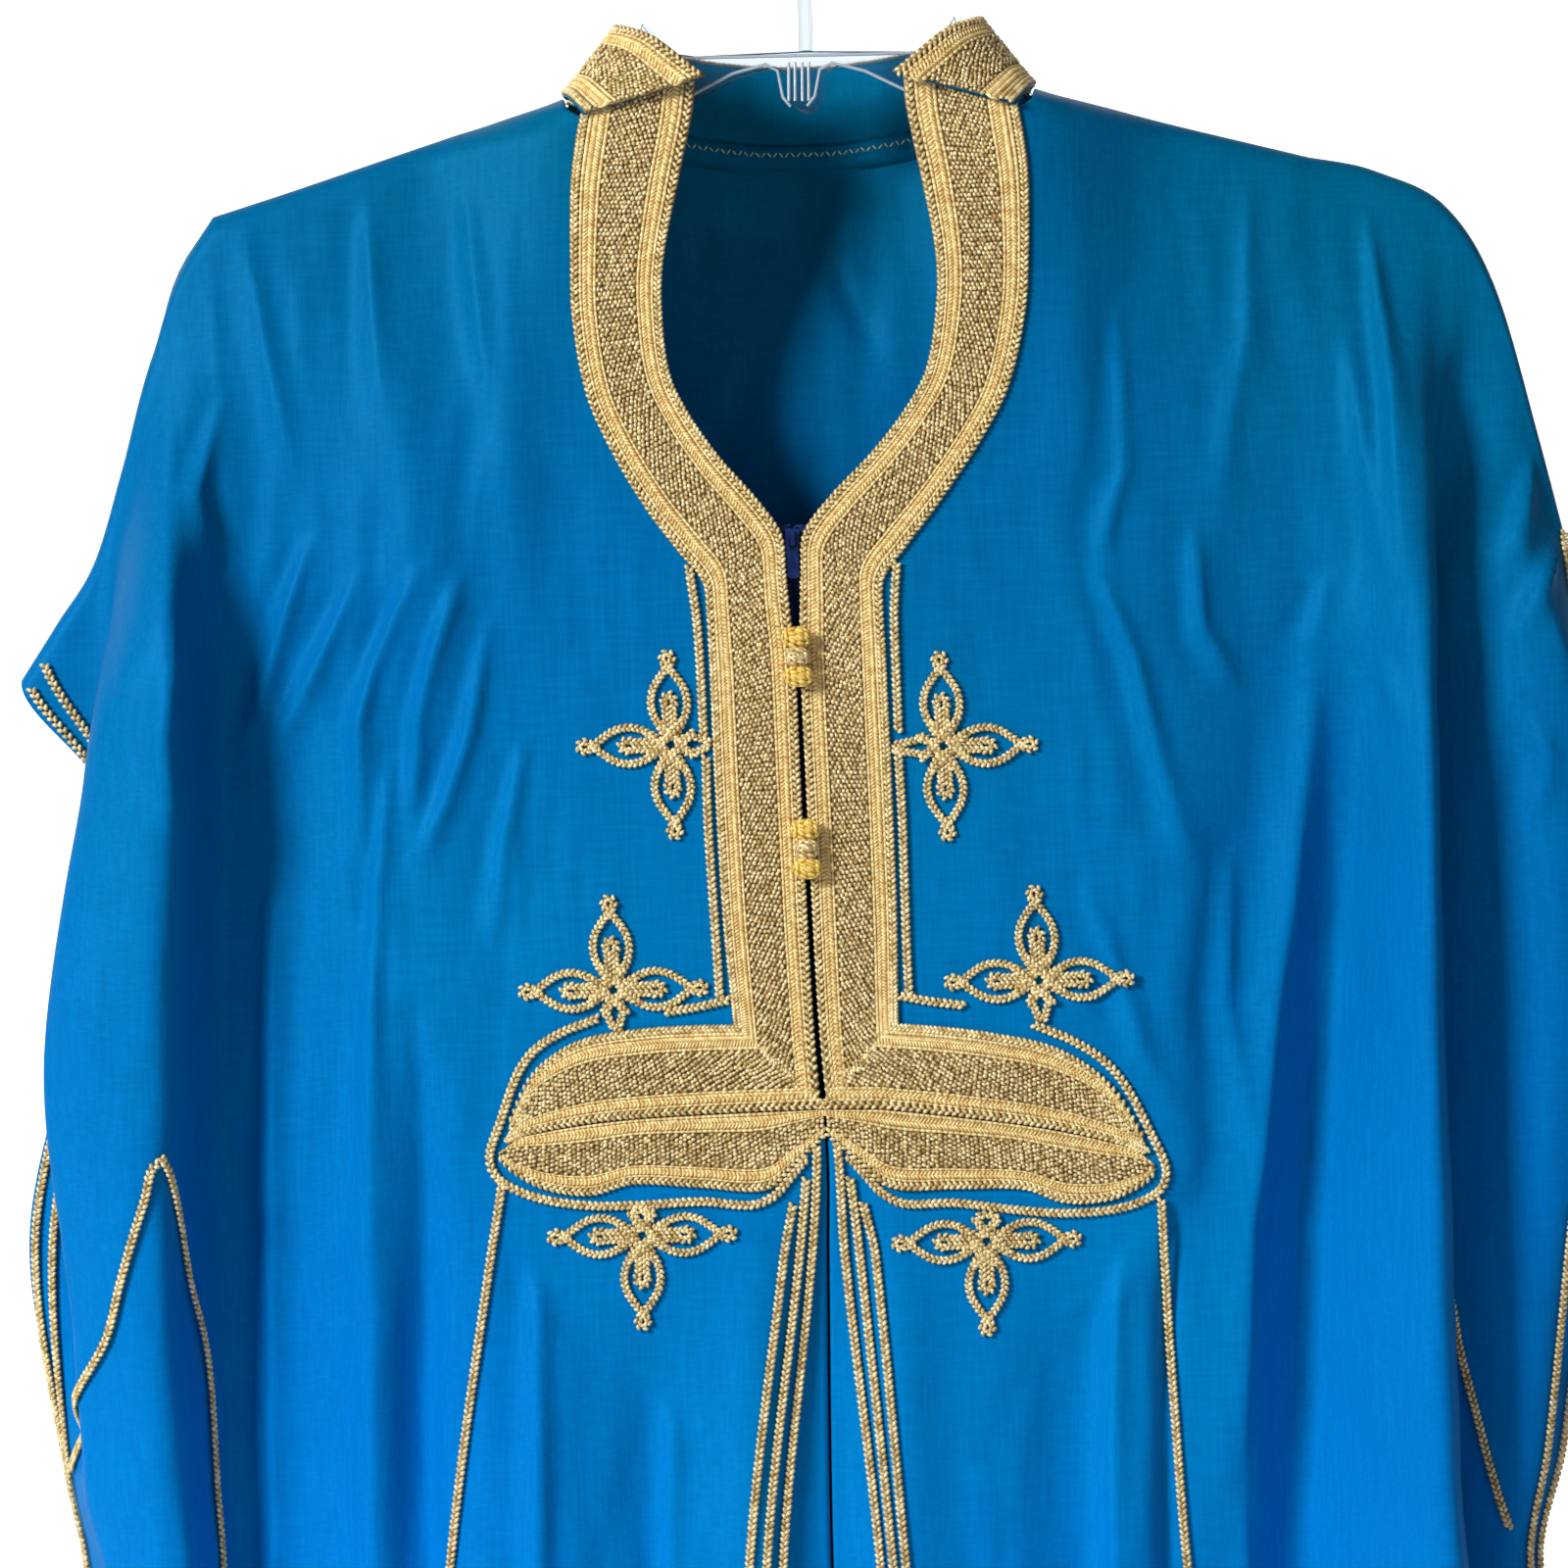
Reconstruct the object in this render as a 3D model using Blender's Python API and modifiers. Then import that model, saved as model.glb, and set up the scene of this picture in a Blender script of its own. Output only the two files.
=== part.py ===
"""A wide ceremonial kaftan on a clear hanger: two fronts, one back, a stand collar, wide metallic
braid, knotted cord motifs, a front zip and couched cords.

The garment's own frame: +X to the viewer's right, +Y to the back, +Z up, origin inside the top of
the hanger's hook. Every length below is in millimetres and becomes metres when a mesh is made.
A side is -1 for the viewer's left and +1 for the right; distances out from the centre are positive.
"""
import math
from collections import namedtuple

import bmesh
import bpy
import numpy as np
from mathutils import Vector
from mathutils.bvhtree import BVHTree

MM = 0.001
SIDES = {"left": -1, "right": 1}

# Driving sizes
WALL = 1.2
SEAM_GAP = 0.3
TRIM_LIFT = 0.5
HEM_Z = -1454.0
NECK_HALF = 85.6
NECK_SIDE_Z = -89.5
NECK_BACK_DROP = 14.7
NECK_BACK_DEPTH = 44.9
SHOULDER_SLOPES = {"left": 0.3, "right": 0.275}
SHOULDER_ROLL = 10.0
NECK_ROLL = 27.0
TOP_EDGE_Y = 1.35
ZIP_TOP_Z = -249.0
WAIST_Z = -440.0
ZIP_HALF_GAP = 4.5
CENTRE_HALF_GAP = 0.5
CORD_WIDTH = 3.2
CORD_HEIGHT = 1.7
BRAID_STEP = 13.0
COLLAR_STEP = 14.0
CORD_STEP = 11.0
CORD_FINE_TO = -600.0
FACET_RISE = 0.2
SEAM_CORD_LIFT = 1.08
EDGE_CORD_LIFT = {"front": 1.0, "back": 1.5}
COLLAR_LIFT = 0.9
DROOP_START = 20.0
DROOP = {"left": 0.0, "right": 0.1}

HANGER_HALF_THICKNESS = 2.5
HOOK_RADIUS = 20.0
HOOK_WIRE = 2.5

PULL_PIVOT_Z = -251.0
PULL_LENGTH = 14.5
PULL_HALF_WIDTH = 2.1
PULL_HALF_THICKNESS = 0.5
BRIDGE_HALF_WIDTH = 0.7
BRIDGE_CLEAR = 1.8
BRIDGE_POST_HALF = 0.45
# Heights against the pull's pivot: the slider's rows with their half widths, the bridge's two
# posts, and the lower and upper end of its strap
SLIDER_ROWS = ((-8.6, 1.7), (-5.6, 2.2), (-0.6, 2.6), (3.4, 2.6))
BRIDGE_POSTS = (1.9, -2.3)
BRIDGE_STRAP = (-2.8, 2.4)

# How far the front's middle hangs to one side of the hanger's middle, by height
SWAY = (
    (-60.0, -2.5),
    (-145.0, -4.0),
    (-200.0, -6.0),
    (-250.0, -9.0),
    (-300.0, -8.0),
    (-362.0, -6.5),
    (-424.0, -4.5),
    (-471.0, -1.5),
    (-507.0, -2.0),
    (-620.0, -3.0),
    (-900.0, 0.0),
    (-1454.0, 0.0),
)
SWAY_FULL, SWAY_NONE = 120.0, 200.0

# Depth of the body's front below the shoulder, by height
BODY_DEPTH = (
    (-90.0, 22.0),
    (-200.0, 24.0),
    (-424.0, 25.0),
    (-620.0, 27.0),
    (-900.0, 33.0),
    (-1454.0, 42.0),
)

# Half width of the neck opening in the fronts' cloth, by height
NECKLINE = (
    (-89.5, 85.6),
    (-92.0, 84.2),
    (-98.0, 80.5),
    (-104.0, 58.0),
    (-112.0, 44.0),
    (-124.0, 45.5),
    (-150.0, 50.5),
    (-168.0, 51.0),
    (-191.0, 48.0),
    (-206.0, 41.0),
    (-222.0, 29.0),
    (-237.0, 15.5),
    (-249.0, 5.5),
    (-262.0, 4.5),
)

# The lines of the drape at each side, out from the body: the valley beside the body, the crest of
# the big fold, its turned edge, the cloth behind it, the outer roll and the selvedge.
LINES = ("valley", "crest", "turn", "behind", "roll", "edge")
# How far below the top line each one takes up its own run
LINE_EASES = (110.0, 110.0, 110.0, 110.0, 70.0, 45.0)
LINE_TOPS = {
    "left": ((218, -131.5), (239, -178), (251, -219), (262, -253), (275.5, -274), (289, -294.5)),
    "right": ((182, -116), (208, -122.5), (230, -134.5), (247, -163), (262, -219), (279, -292)),
}
Level = namedtuple("Level", "z valley crest turn behind roll edge")
LEVELS = {
    "left": (
        Level(-170, (213, 18), (230, 32), (240, 20), (232, 10), (236, 9), (240, 7)),
        Level(-240, (214, 14), (230, 46), (252, 32), (238, 14), (246, 10), (256, 8)),
        Level(-335, (215, 9), (231, 52), (264, 34), (240, 13), (248, 11), (261, 8)),
        Level(-430, (219, 6), (236, 50), (279, 34), (248, 13), (262, 12), (276, 8)),
        Level(-500, (220, 5), (238, 46), (274, 32), (256, 14), (274, 13), (290, 8)),
        Level(-583, (218, 3), (235, 39), (265, 32), (271, 20), (275, 11), (278, 2.5)),
        Level(-620, (216, 2.2), (233, 36), (259, 30), (264, 20), (269, 11), (272, 2.5)),
        Level(-900, (218, 2.2), (240, 38), (270, 32), (278, 22), (282, 12), (286, 2.5)),
        Level(-1454, (226, 2.5), (262, 42), (288, 34), (300, 24), (305, 14), (310, 3)),
    ),
    "right": (
        Level(-170, (182, 22), (211, 29), (222, 22), (226, 13), (240, 14), (247, 7)),
        Level(-260, (182, 18), (212, 38), (220, 26), (213, 8), (258, 24), (278, 8)),
        Level(-340, (183, 14), (212, 45), (219, 29), (209, 6), (265, 25), (286, 8)),
        Level(-420, (180, 11), (211, 47), (219, 30), (208, 5), (263, 23), (285, 8)),
        Level(-500, (173, 9), (210, 47), (220, 30), (208, 4), (254, 20), (275, 8)),
        Level(-583, (167, 7), (210, 45), (221, 30), (210, 3), (246, 16), (264, 5)),
        Level(-625, (165, 6), (211, 43), (223, 30), (212, 2.2), (241, 14), (254, 2.5)),
        Level(-900, (168, 10), (216, 44), (232, 30), (222, 2.2), (252, 18), (270, 2.5)),
        Level(-1454, (180, 16), (222, 48), (250, 32), (240, 2.5), (278, 22), (302, 3)),
    ),
}

# Soft folds of the body: where one starts and ends, its half width, and its depth to the front
Fold = namedtuple("Fold", "face side top_x top_z bottom_x bottom_z width depth")
FOLDS = (
    Fold("front", -1, 152, -135, 120, -330, 13, 3.5),
    Fold("front", -1, 108, -120, 96, -280, 10, 3.0),
    Fold("front", -1, 190, -250, 182, -1454, 24, 6.0),
    Fold("front", -1, 150, -470, 165, -1454, 16, -7.0),
    Fold("front", -1, 108, -535, 125, -1454, 18, 5.0),
    Fold("front", -1, 62, -530, 78, -1454, 15, -5.0),
    Fold("front", 1, 100, -115, 98, -260, 10, 3.0),
    Fold("front", 1, 150, -210, 140, -420, 16, 3.0),
    Fold("front", 1, 140, -430, 118, -1454, 20, 6.5),
    Fold("front", 1, 84, -520, 92, -1454, 15, -5.5),
    Fold("front", -1, 24, -500, 58, -1454, 12, 4.0),
    Fold("front", 1, 24, -500, 54, -1454, 12, 4.5),
    Fold("front", -1, 0, -490, 0, -1454, 15, -7.0),
    Fold("front", 1, 0, -490, 0, -1454, 15, -7.0),
    Fold("back", -1, 150, -150, 140, -1454, 20, 6.0),
    Fold("back", -1, 84, -300, 96, -1454, 18, -5.0),
    Fold("back", -1, 30, -200, 36, -1454, 18, 5.0),
    Fold("back", 1, 128, -150, 122, -1454, 18, 6.0),
    Fold("back", 1, 70, -260, 66, -1454, 17, -6.0),
)

# The stand collar's lower and upper edge, from the mitre at the front round to the back
CollarRow = namedtuple("CollarRow", "base top")
COLLAR = (
    CollarRow((78.0, -28.0, -97.6), (37.0, -33.0, -84.5)),
    CollarRow((82.6, -16.5, -91.2), (52.0, -25.0, -71.5)),
    CollarRow((84.6, -1.0, -88.8), (65.0, -7.0, -65.0)),
    CollarRow((78.2, 17.0, -91.0), (61.5, 13.0, -66.5)),
    CollarRow((53.0, 34.4, -97.4), (44.0, 31.0, -70.0)),
    CollarRow((20.0, 43.0, -102.4), (17.0, 40.0, -72.8)),
    CollarRow((0.0, 44.2, -103.0), (0.0, 41.0, -73.2)),
)

# Where the collar's two faces are divided, between its lower and upper edge
COLLAR_SHARES = (0.0, 0.33, 0.67, 1.0)

# Inner and outer edge of the braid that frames the neck and the zip, down to the waist's mitre
BraidRow = namedtuple("BraidRow", "inner outer")
NECK_BRAID = (
    BraidRow((37.6, -86.6), (78.0, -99.8)),
    BraidRow((38.5, -98.0), (79.5, -108.0)),
    BraidRow((44.0, -124.0), (81.3, -124.0)),
    BraidRow((49.0, -150.0), (81.4, -150.0)),
    BraidRow((49.5, -168.0), (80.5, -171.0)),
    BraidRow((46.4, -191.0), (75.0, -198.0)),
    BraidRow((39.0, -206.0), (66.0, -217.0)),
    BraidRow((27.0, -222.0), (52.5, -238.5)),
    BraidRow((13.5, -236.5), (40.5, -254.5)),
    BraidRow((4.2, -249.5), (32.0, -266.0)),
    BraidRow((3.0, -262.0), (31.0, -279.0)),
    BraidRow((2.7, -270.0), (31.0, -289.0)),
    BraidRow((1.5, -290.0), (31.0, -303.0)),
    BraidRow((1.5, -340.0), (31.0, -340.0)),
    BraidRow((1.5, -390.0), (30.5, -385.0)),
    BraidRow((1.5, -430.0), (29.2, -415.0)),
    BraidRow((1.5, -453.0), (28.8, -423.8)),
)
WAIST_UPPER = (
    BraidRow((30.0, -424.6), (2.0, -454.6)),
    BraidRow((45.0, -424.6), (30.0, -455.0)),
    BraidRow((62.0, -425.4), (56.0, -455.8)),
    BraidRow((82.0, -428.2), (80.0, -457.2)),
    BraidRow((95.0, -434.5), (97.0, -459.4)),
    BraidRow((104.0, -443.0), (107.5, -461.2)),
    BraidRow((111.5, -457.0), (113.5, -463.0)),
)
WAIST_LOWER = (
    BraidRow((2.2, -455.8), (3.0, -465.6)),
    BraidRow((12.0, -456.0), (12.0, -474.0)),
    BraidRow((24.0, -456.2), (22.0, -483.0)),
    BraidRow((45.0, -456.8), (45.0, -481.6)),
    BraidRow((68.0, -457.8), (70.0, -479.8)),
    BraidRow((84.0, -459.2), (85.0, -483.6)),
    BraidRow((99.0, -461.4), (101.0, -481.0)),
    BraidRow((110.0, -463.8), (112.0, -474.5)),
    BraidRow((115.0, -467.0), (115.4, -470.6)),
)
# A braid's section: share of its width, and height over the cloth
BRAID_SECTION = ((0.0, 1.4), (0.06, 2.4), (0.12, 1.5), (0.5, 2.3), (0.88, 1.5), (0.94, 2.4), (1.0, 1.4))
BAND_SECTION = ((0.0, 1.4), (0.1, 2.4), (0.24, 1.6), (0.5, 2.3), (0.76, 1.6), (0.9, 2.4), (1.0, 1.4))
CORD_SECTION = ((0.0, 0.0), (0.5, CORD_HEIGHT), (1.0, 0.0))

# Couched cords on both sides, out from the centre: name, droops with the waist piece, points
Cord = namedtuple("Cord", "name droops step points")
CORDS = (
    Cord("neck_cord", False, CORD_STEP, ((36.8, -263.5), (35.3, -279.0), (34.9, -298.0), (34.8, -317.5))),
    Cord(
        "link_cord",
        False,
        CORD_STEP,
        ((34.4, -331.5), (34.7, -350.0), (34.4, -372.0), (33.9, -398.0), (33.8, -411.5)),
    ),
    Cord(
        "link_turn_cord",
        False,
        CORD_STEP,
        ((33.6, -415.9), (41.0, -417.4), (50.0, -418.7)),
    ),
    Cord(
        "waist_outline_cord",
        True,
        CORD_STEP,
        (
            (80.5, -421.8),
            (91.0, -425.6),
            (101.0, -431.6),
            (108.0, -440.0),
            (115.8, -457.0),
            (120.6, -469.5),
            (117.8, -477.2),
            (105.0, -484.0),
            (87.0, -487.4),
            (68.0, -487.8),
            (45.0, -487.0),
            (27.5, -488.6),
            (19.5, -485.6),
            (13.2, -478.8),
            (9.6, -474.6),
        ),
    ),
)
SKIRT_CORDS = {
    "left": (
        Cord(
            "princess_cord",
            False,
            None,
            ((117.0, -482.4), (137.0, -616.0), (170.0, -900.0), (214.0, -1452.0)),
        ),
        Cord(
            "centre_cord_1",
            False,
            None,
            ((3.8, -471.0), (5.7, -507.0), (17.7, -619.0), (34.0, -900.0), (52.0, -1452.0)),
        ),
        Cord(
            "centre_cord_2",
            False,
            None,
            ((8.2, -483.0), (10.2, -507.0), (23.6, -619.0), (42.0, -900.0), (64.0, -1452.0)),
        ),
        Cord(
            "centre_cord_3",
            False,
            None,
            ((13.2, -492.0), (15.8, -507.0), (29.8, -619.0), (50.0, -900.0), (76.0, -1452.0)),
        ),
    ),
    "right": (
        Cord(
            "princess_cord",
            False,
            None,
            ((119.0, -493.0), (126.8, -620.0), (148.0, -900.0), (186.0, -1452.0)),
        ),
        Cord(
            "centre_cord_1",
            False,
            None,
            ((3.8, -471.0), (5.9, -507.0), (17.2, -619.0), (32.0, -900.0), (50.0, -1452.0)),
        ),
        Cord(
            "centre_cord_2",
            False,
            None,
            ((8.2, -483.0), (11.2, -507.0), (21.6, -619.0), (39.0, -900.0), (61.0, -1452.0)),
        ),
        Cord(
            "centre_cord_3",
            False,
            None,
            ((13.2, -492.0), (16.7, -507.0), (26.2, -619.0), (46.0, -900.0), (72.0, -1452.0)),
        ),
    ),
}

# Cord motifs: the middle of each, the way its root points, and the root's length
Motif = namedtuple("Motif", "name side x z root_turn root")
MOTIFS = (
    Motif("motif_chest_left", -1, 46.6, -323.8, 90, 13.2),
    Motif("motif_waist_left", -1, 71.5, -410.8, 180, 13.6),
    Motif("motif_skirt_left", -1, 66.4, -498.6, 0, 8.4),
    Motif("motif_chest_right", 1, 50.6, -326.5, -90, 17.2),
    Motif("motif_waist_right", 1, 80.5, -410.8, 180, 13.6),
    Motif("motif_skirt_right", 1, 56.5, -503.4, 0, 9.4),
)
PETAL_LENGTH = 26.0
PETAL_HALF_WIDTH = 8.6
EYELET_AT = 29.0
MOTIF_REACH = 6.0
EYELET_RADIUS = 3.4
BUD_AT = 13.0
BUD_RADIUS = 3.0

# Selvedge and side seam cords: which line of the drape, and where on it
EDGE_CORDS = (("edge_cord_outer", 5.82), ("edge_cord_inner", 5.4))
SeamCord = namedtuple("SeamCord", "name stations")
SKIRT_HEIGHTS = (-574, -620, -760, -900, -1080, -1260, -1452)
SEAM_CORDS = {
    "left": (
        SeamCord(
            "sleeve_seam_cord",
            (
                (2.06, -469),
                (2.12, -479),
                (2.2, -489),
                (2.28, -499),
                (2.36, -509),
                (2.52, -528),
                (2.7, -538.5),
                (2.95, -547.5),
                (3.25, -554.5),
                (3.6, -561),
                (4.4, -572),
                (4.92, -579),
            ),
        ),
        SeamCord(
            "side_seam_cord",
            (
                (1.86, -473),
                (1.74, -487),
                (1.58, -512),
                (1.38, -534),
                (1.32, -556),
                *((1.34, z) for z in SKIRT_HEIGHTS[1:]),
            ),
        ),
    ),
    "right": (
        SeamCord(
            "sleeve_seam_cord",
            (
                (4.3, -505),
                (4.36, -520),
                (4.42, -535),
                (4.46, -547),
                (4.56, -566),
                (4.68, -586),
                (4.8, -600),
                (4.94, -611),
            ),
        ),
        SeamCord("side_seam_cord", ((3.6, -508), (3.6, -525), *((3.6, z) for z in SKIRT_HEIGHTS))),
    ),
}

# Closures over the placket, knob, bead and knob in each: height of the middle
CLOSURES = (("upper", -293.5), ("lower", -362.0))
Bead = namedtuple("Bead", "name rise half_width half_height half_depth metallic")
BEADS = (
    Bead("top_knob", 6.9, 5.2, 3.3, 3.0, False),
    Bead("bead", 0.0, 4.3, 3.1, 3.2, True),
    Bead("bottom_knob", -6.9, 5.2, 3.3, 3.0, False),
)

# Grid lines of the panels: across in drape lines, down as distance below the top line
BODY_SHARES = (0.0, 0.08, 0.2, 0.34, 0.48, 0.62, 0.75, 0.88)
SIDE_LINES = (1.0, 1.35, 1.7, 2.0, 2.35, 2.7, 3.0, 3.35, 3.7, 4.0, 4.4, 4.8, 5.1, 5.4, 5.7, 6.0)
BACK_SHARES = (0.0, 0.14, 0.26, 0.36, 0.47, 0.6, 0.75, 0.9)
BACK_SIDE_LINES = (1.0, 1.5, 2.0, 2.5, 3.0, 3.5, 4.0, 4.5, 5.0, 5.5, 6.0)
DROPS = (
    *(0, 1.5, 4, 10, 20, 34, 52, 74, 98, 124, 150, 180, 215, 255, 300, 350, 385, 420, 470, 530),
    *(620, 740, 900, 1080, 1250, 1364.5),
)
BACK_DROPS = (0, 1.5, 4, 10, 24, 46, 80, 125, 180, 240, 310, 385, 450, 530, 640, 780, 950, 1150, 1364.5)

# Outline of the hanger's right half: upper edge outwards, then lower edge back to the middle
HANGER_UPPER = (
    (0.0, -73.5),
    (40.0, -74.5),
    (47.0, -73.5),
    (52.5, -69.0),
    (56.5, -61.8),
    (58.0, -66.5),
    (60.0, -78.0),
    (84.0, -94.0),
    (104.0, -97.3),
    (198.0, -125.4),
    (205.5, -128.6),
    (209.0, -135.0),
    (205.0, -141.5),
    (197.0, -141.5),
)
HANGER_LOWER = (
    (84.0, -110.0),
    (60.0, -100.5),
    (38.0, -89.0),
    (24.0, -81.8),
    (12.0, -78.6),
    (7.0, -81.0),
    (6.4, -90.0),
    (3.5, -94.2),
    (0.0, -95.4),
)


def smooth_step(value):
    """0 below 0, 1 above 1, and an even turn between."""
    t = min(max(value, 0.0), 1.0)
    return t * t * (3.0 - 2.0 * t)


def curve_at(rows, at):
    """Value at one place on a smooth curve through (place, value) rows; places rise or fall."""
    places = [row[0] for row in rows]
    values = [row[1] for row in rows]
    if places[0] > places[-1]:
        places, values = places[::-1], values[::-1]
    if at <= places[0]:
        return values[0]
    if at >= places[-1]:
        return values[-1]
    i = max(k for k in range(len(places) - 1) if places[k] <= at)

    def slope(k):
        low, high = max(k - 1, 0), min(k + 1, len(places) - 1)
        return (values[high] - values[low]) / (places[high] - places[low])

    span = places[i + 1] - places[i]
    t = (at - places[i]) / span
    return (
        values[i] * (2 * t**3 - 3 * t**2 + 1)
        + slope(i) * span * (t**3 - 2 * t**2 + t)
        + values[i + 1] * (3 * t**2 - 2 * t**3)
        + slope(i + 1) * span * (t**3 - t**2)
    )


def shoulder_z(side, x):
    """Height of the shoulder line over the hanger's arm."""
    return NECK_SIDE_Z - SHOULDER_SLOPES[side] * (x - NECK_HALF)


def line_point(side, index, z, top):
    """(x, depth) of one drape line at a height, easing out of its place on the top line."""
    name = LINES[index]
    levels = [(level.z, getattr(level, name)) for level in LEVELS[side]]
    x = curve_at([(level_z, at[0]) for level_z, at in levels], z)
    depth = curve_at([(level_z, at[1]) for level_z, at in levels], z)
    drop = top[1] - z
    ease = smooth_step(drop / LINE_EASES[index])
    rolled = TOP_EDGE_Y + 6.0 * math.sqrt(max(0.0, 1.0 - (1.0 - min(drop / 8.0, 1.0)) ** 2))
    return top[0] + (x - top[0]) * ease, rolled + (depth - rolled) * ease


def body_depth(face, side, x, z):
    """Depth of the body in front of (or behind) the hanger, with its soft folds."""
    depth = curve_at(BODY_DEPTH, z) * (1.0 - 0.12 * (x / 220.0) ** 2)
    for fold in FOLDS:
        if fold.face != face or fold.side != side or z > fold.top_z + 30.0:
            continue
        along = (z - fold.top_z) / (fold.bottom_z - fold.top_z)
        fade = smooth_step((fold.top_z + 30.0 - z) / 90.0)
        if fold.bottom_z > HEM_Z:
            fade *= smooth_step((z - fold.bottom_z + 30.0) / 90.0)
        middle = fold.top_x + (fold.bottom_x - fold.top_x) * min(max(along, 0.0), 1.0)
        depth += fold.depth * fade * math.exp(-(((x - middle) / fold.width) ** 2))
    return depth


def opening_half(z):
    """Half width of the front opening at a height: neckline, zip, then the closed seam."""
    if z > NECKLINE[-1][0]:
        return curve_at(NECKLINE, z)
    closed = smooth_step((WAIST_Z - z) / 14.0)
    return ZIP_HALF_GAP + (CENTRE_HALF_GAP - ZIP_HALF_GAP) * closed


def neck_back(x):
    """(depth, height) of the back's neck edge."""
    share = min(x / NECK_HALF, 1.0)
    depth = TOP_EDGE_Y + (NECK_BACK_DEPTH - TOP_EDGE_Y) * math.sqrt(1.0 - share**2)
    return depth, NECK_SIDE_Z - NECK_BACK_DROP * (1.0 - share**2)


def body_point(face, side, share, drop_share):
    """A point of the body cloth: share runs from the middle to the valley, drop_share down."""
    valley_top = LINE_TOPS[side][0]
    start = NECK_HALF if face == "front" else 0.0
    top_x = start + (valley_top[0] - start) * share
    if top_x >= NECK_HALF:
        top_z = max(shoulder_z(side, top_x), valley_top[1])
        top_depth = TOP_EDGE_Y
    else:
        top_depth, top_z = neck_back(top_x)
    z = top_z + (HEM_Z - top_z) * drop_share
    drop = top_z - z
    valley_x, valley_depth = line_point(side, 0, z, valley_top)
    inner = opening_half(z) if face == "front" else 0.0
    x_low = inner + (valley_x - inner) * share
    x = top_x + (x_low - top_x) * smooth_step(drop / 110.0)
    if face == "front":
        unpinned = start + (inner - start) * smooth_step(drop / 110.0)
        x += (inner - unpinned) * (1.0 - smooth_step(share / 0.3))
    near_neck = 1.0 - smooth_step((x - NECK_HALF + 5.0) / 60.0)
    roll = SHOULDER_ROLL + (NECK_ROLL - SHOULDER_ROLL) * near_neck
    turned = math.sqrt(max(0.0, 1.0 - (1.0 - min(drop / SHOULDER_ROLL, 1.0)) ** 2))
    rolled = TOP_EDGE_Y + (roll - TOP_EDGE_Y) * turned
    if top_x < NECK_HALF:
        rolled = max(top_depth, rolled)
    full = body_depth(face, SIDES[side], x, z)
    depth = rolled + (full - rolled) * smooth_step(drop / 120.0)
    to_valley = smooth_step((share - 0.62) / 0.38) * smooth_step(drop / 110.0)
    depth += (valley_depth - depth) * to_valley
    return x, depth, z


def side_point(face, side, place, drop_share):
    """A point out from the valley: place 1 is the valley line, 2 the crest, up to 6, the edge."""
    tops = LINE_TOPS[side]
    index = min(int(place) - 1, len(LINES) - 2)
    share = place - 1 - index
    rows = range(len(LINES))
    top_x = curve_at([(k, tops[k][0]) for k in rows], place - 1)
    top_z = curve_at([(k, tops[k][1]) for k in rows], place - 1)
    z = top_z + (HEM_Z - top_z) * drop_share
    lines = [line_point(side, k, z, (top_x, top_z)) for k in rows]
    inner = body_point(face, side, 0.8, drop_share)
    xs = [(-1.0, inner[0])] + [(k, lines[k][0]) for k in rows]
    depths = [(-1.0, inner[1])] + [(k, lines[k][1]) for k in rows]
    return curve_at(xs, index + share), curve_at(depths, index + share), z


def cloth_point(face, side, place, drop_share):
    """World place of a panel point in millimetres; place 0 to 1 is the body, 1 to 6 the side."""
    maker = body_point if place < 1.0 else side_point
    x, depth, z = maker(face, side, place, drop_share)
    sign = -1.0 if face == "front" else 1.0
    return np.array((SIDES[side] * x, sign * depth, z))


def swayed(point):
    """The point moved with the lean of the front."""
    x, y, z = point
    hold = 1.0 - smooth_step((abs(x) - SWAY_FULL) / (SWAY_NONE - SWAY_FULL))
    return (x + curve_at(SWAY, z) * hold, y, z)


def material(name, colour, roughness, metallic=0.0, alpha=1.0):
    found = bpy.data.materials.get(name)
    if found:
        return found
    made = bpy.data.materials.new(name)
    made.use_nodes = True
    shader = made.node_tree.nodes["Principled BSDF"]
    shader.inputs["Base Color"].default_value = (*colour, 1.0)
    shader.inputs["Roughness"].default_value = roughness
    shader.inputs["Metallic"].default_value = metallic
    shader.inputs["Alpha"].default_value = alpha
    made.diffuse_color = (*colour, alpha)
    return made


def cloth_material():
    return material("blue_cloth", (0.005, 0.19, 0.42), 0.45)


def gold_material():
    return material("gold_braid", (0.72, 0.52, 0.2), 0.35, 0.7)


def cord_material():
    return material("gold_cord", (0.66, 0.55, 0.32), 0.35, 0.7)


def knob_material():
    return material("yellow_silk", (0.8, 0.5, 0.12), 0.55)


def zip_material():
    return material("navy_zip", (0.01, 0.04, 0.16), 0.4)


def plastic_material():
    return material("clear_plastic", (0.85, 0.9, 0.92), 0.12, 0.0, 0.35)


def keep(name, mesh, finish, sways=True):
    """Put a finished mesh, still in millimetres, in the garment's collection as one object."""
    for vertex in mesh.vertices:
        place = swayed(vertex.co) if sways else vertex.co
        vertex.co = Vector(place) * MM
    mesh.materials.append(finish)
    made = bpy.data.objects.new(name, mesh)
    GARMENT.objects.link(made)
    return made


def grid_mesh(name, rows):
    """An open sheet through rows of points, facing the way that down and across give."""
    down, across = len(rows), len(rows[0])
    sheet = bmesh.new()
    bmesh.ops.create_grid(sheet, x_segments=across - 1, y_segments=down - 1, size=1.0)
    ordered = sorted(sheet.verts, key=lambda v: (-round(v.co.y, 5), round(v.co.x, 5)))
    for number, vertex in enumerate(ordered):
        vertex.co = rows[number // across][number % across]
    mesh = bpy.data.meshes.new(name)
    sheet.to_mesh(mesh)
    sheet.free()
    return mesh


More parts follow.
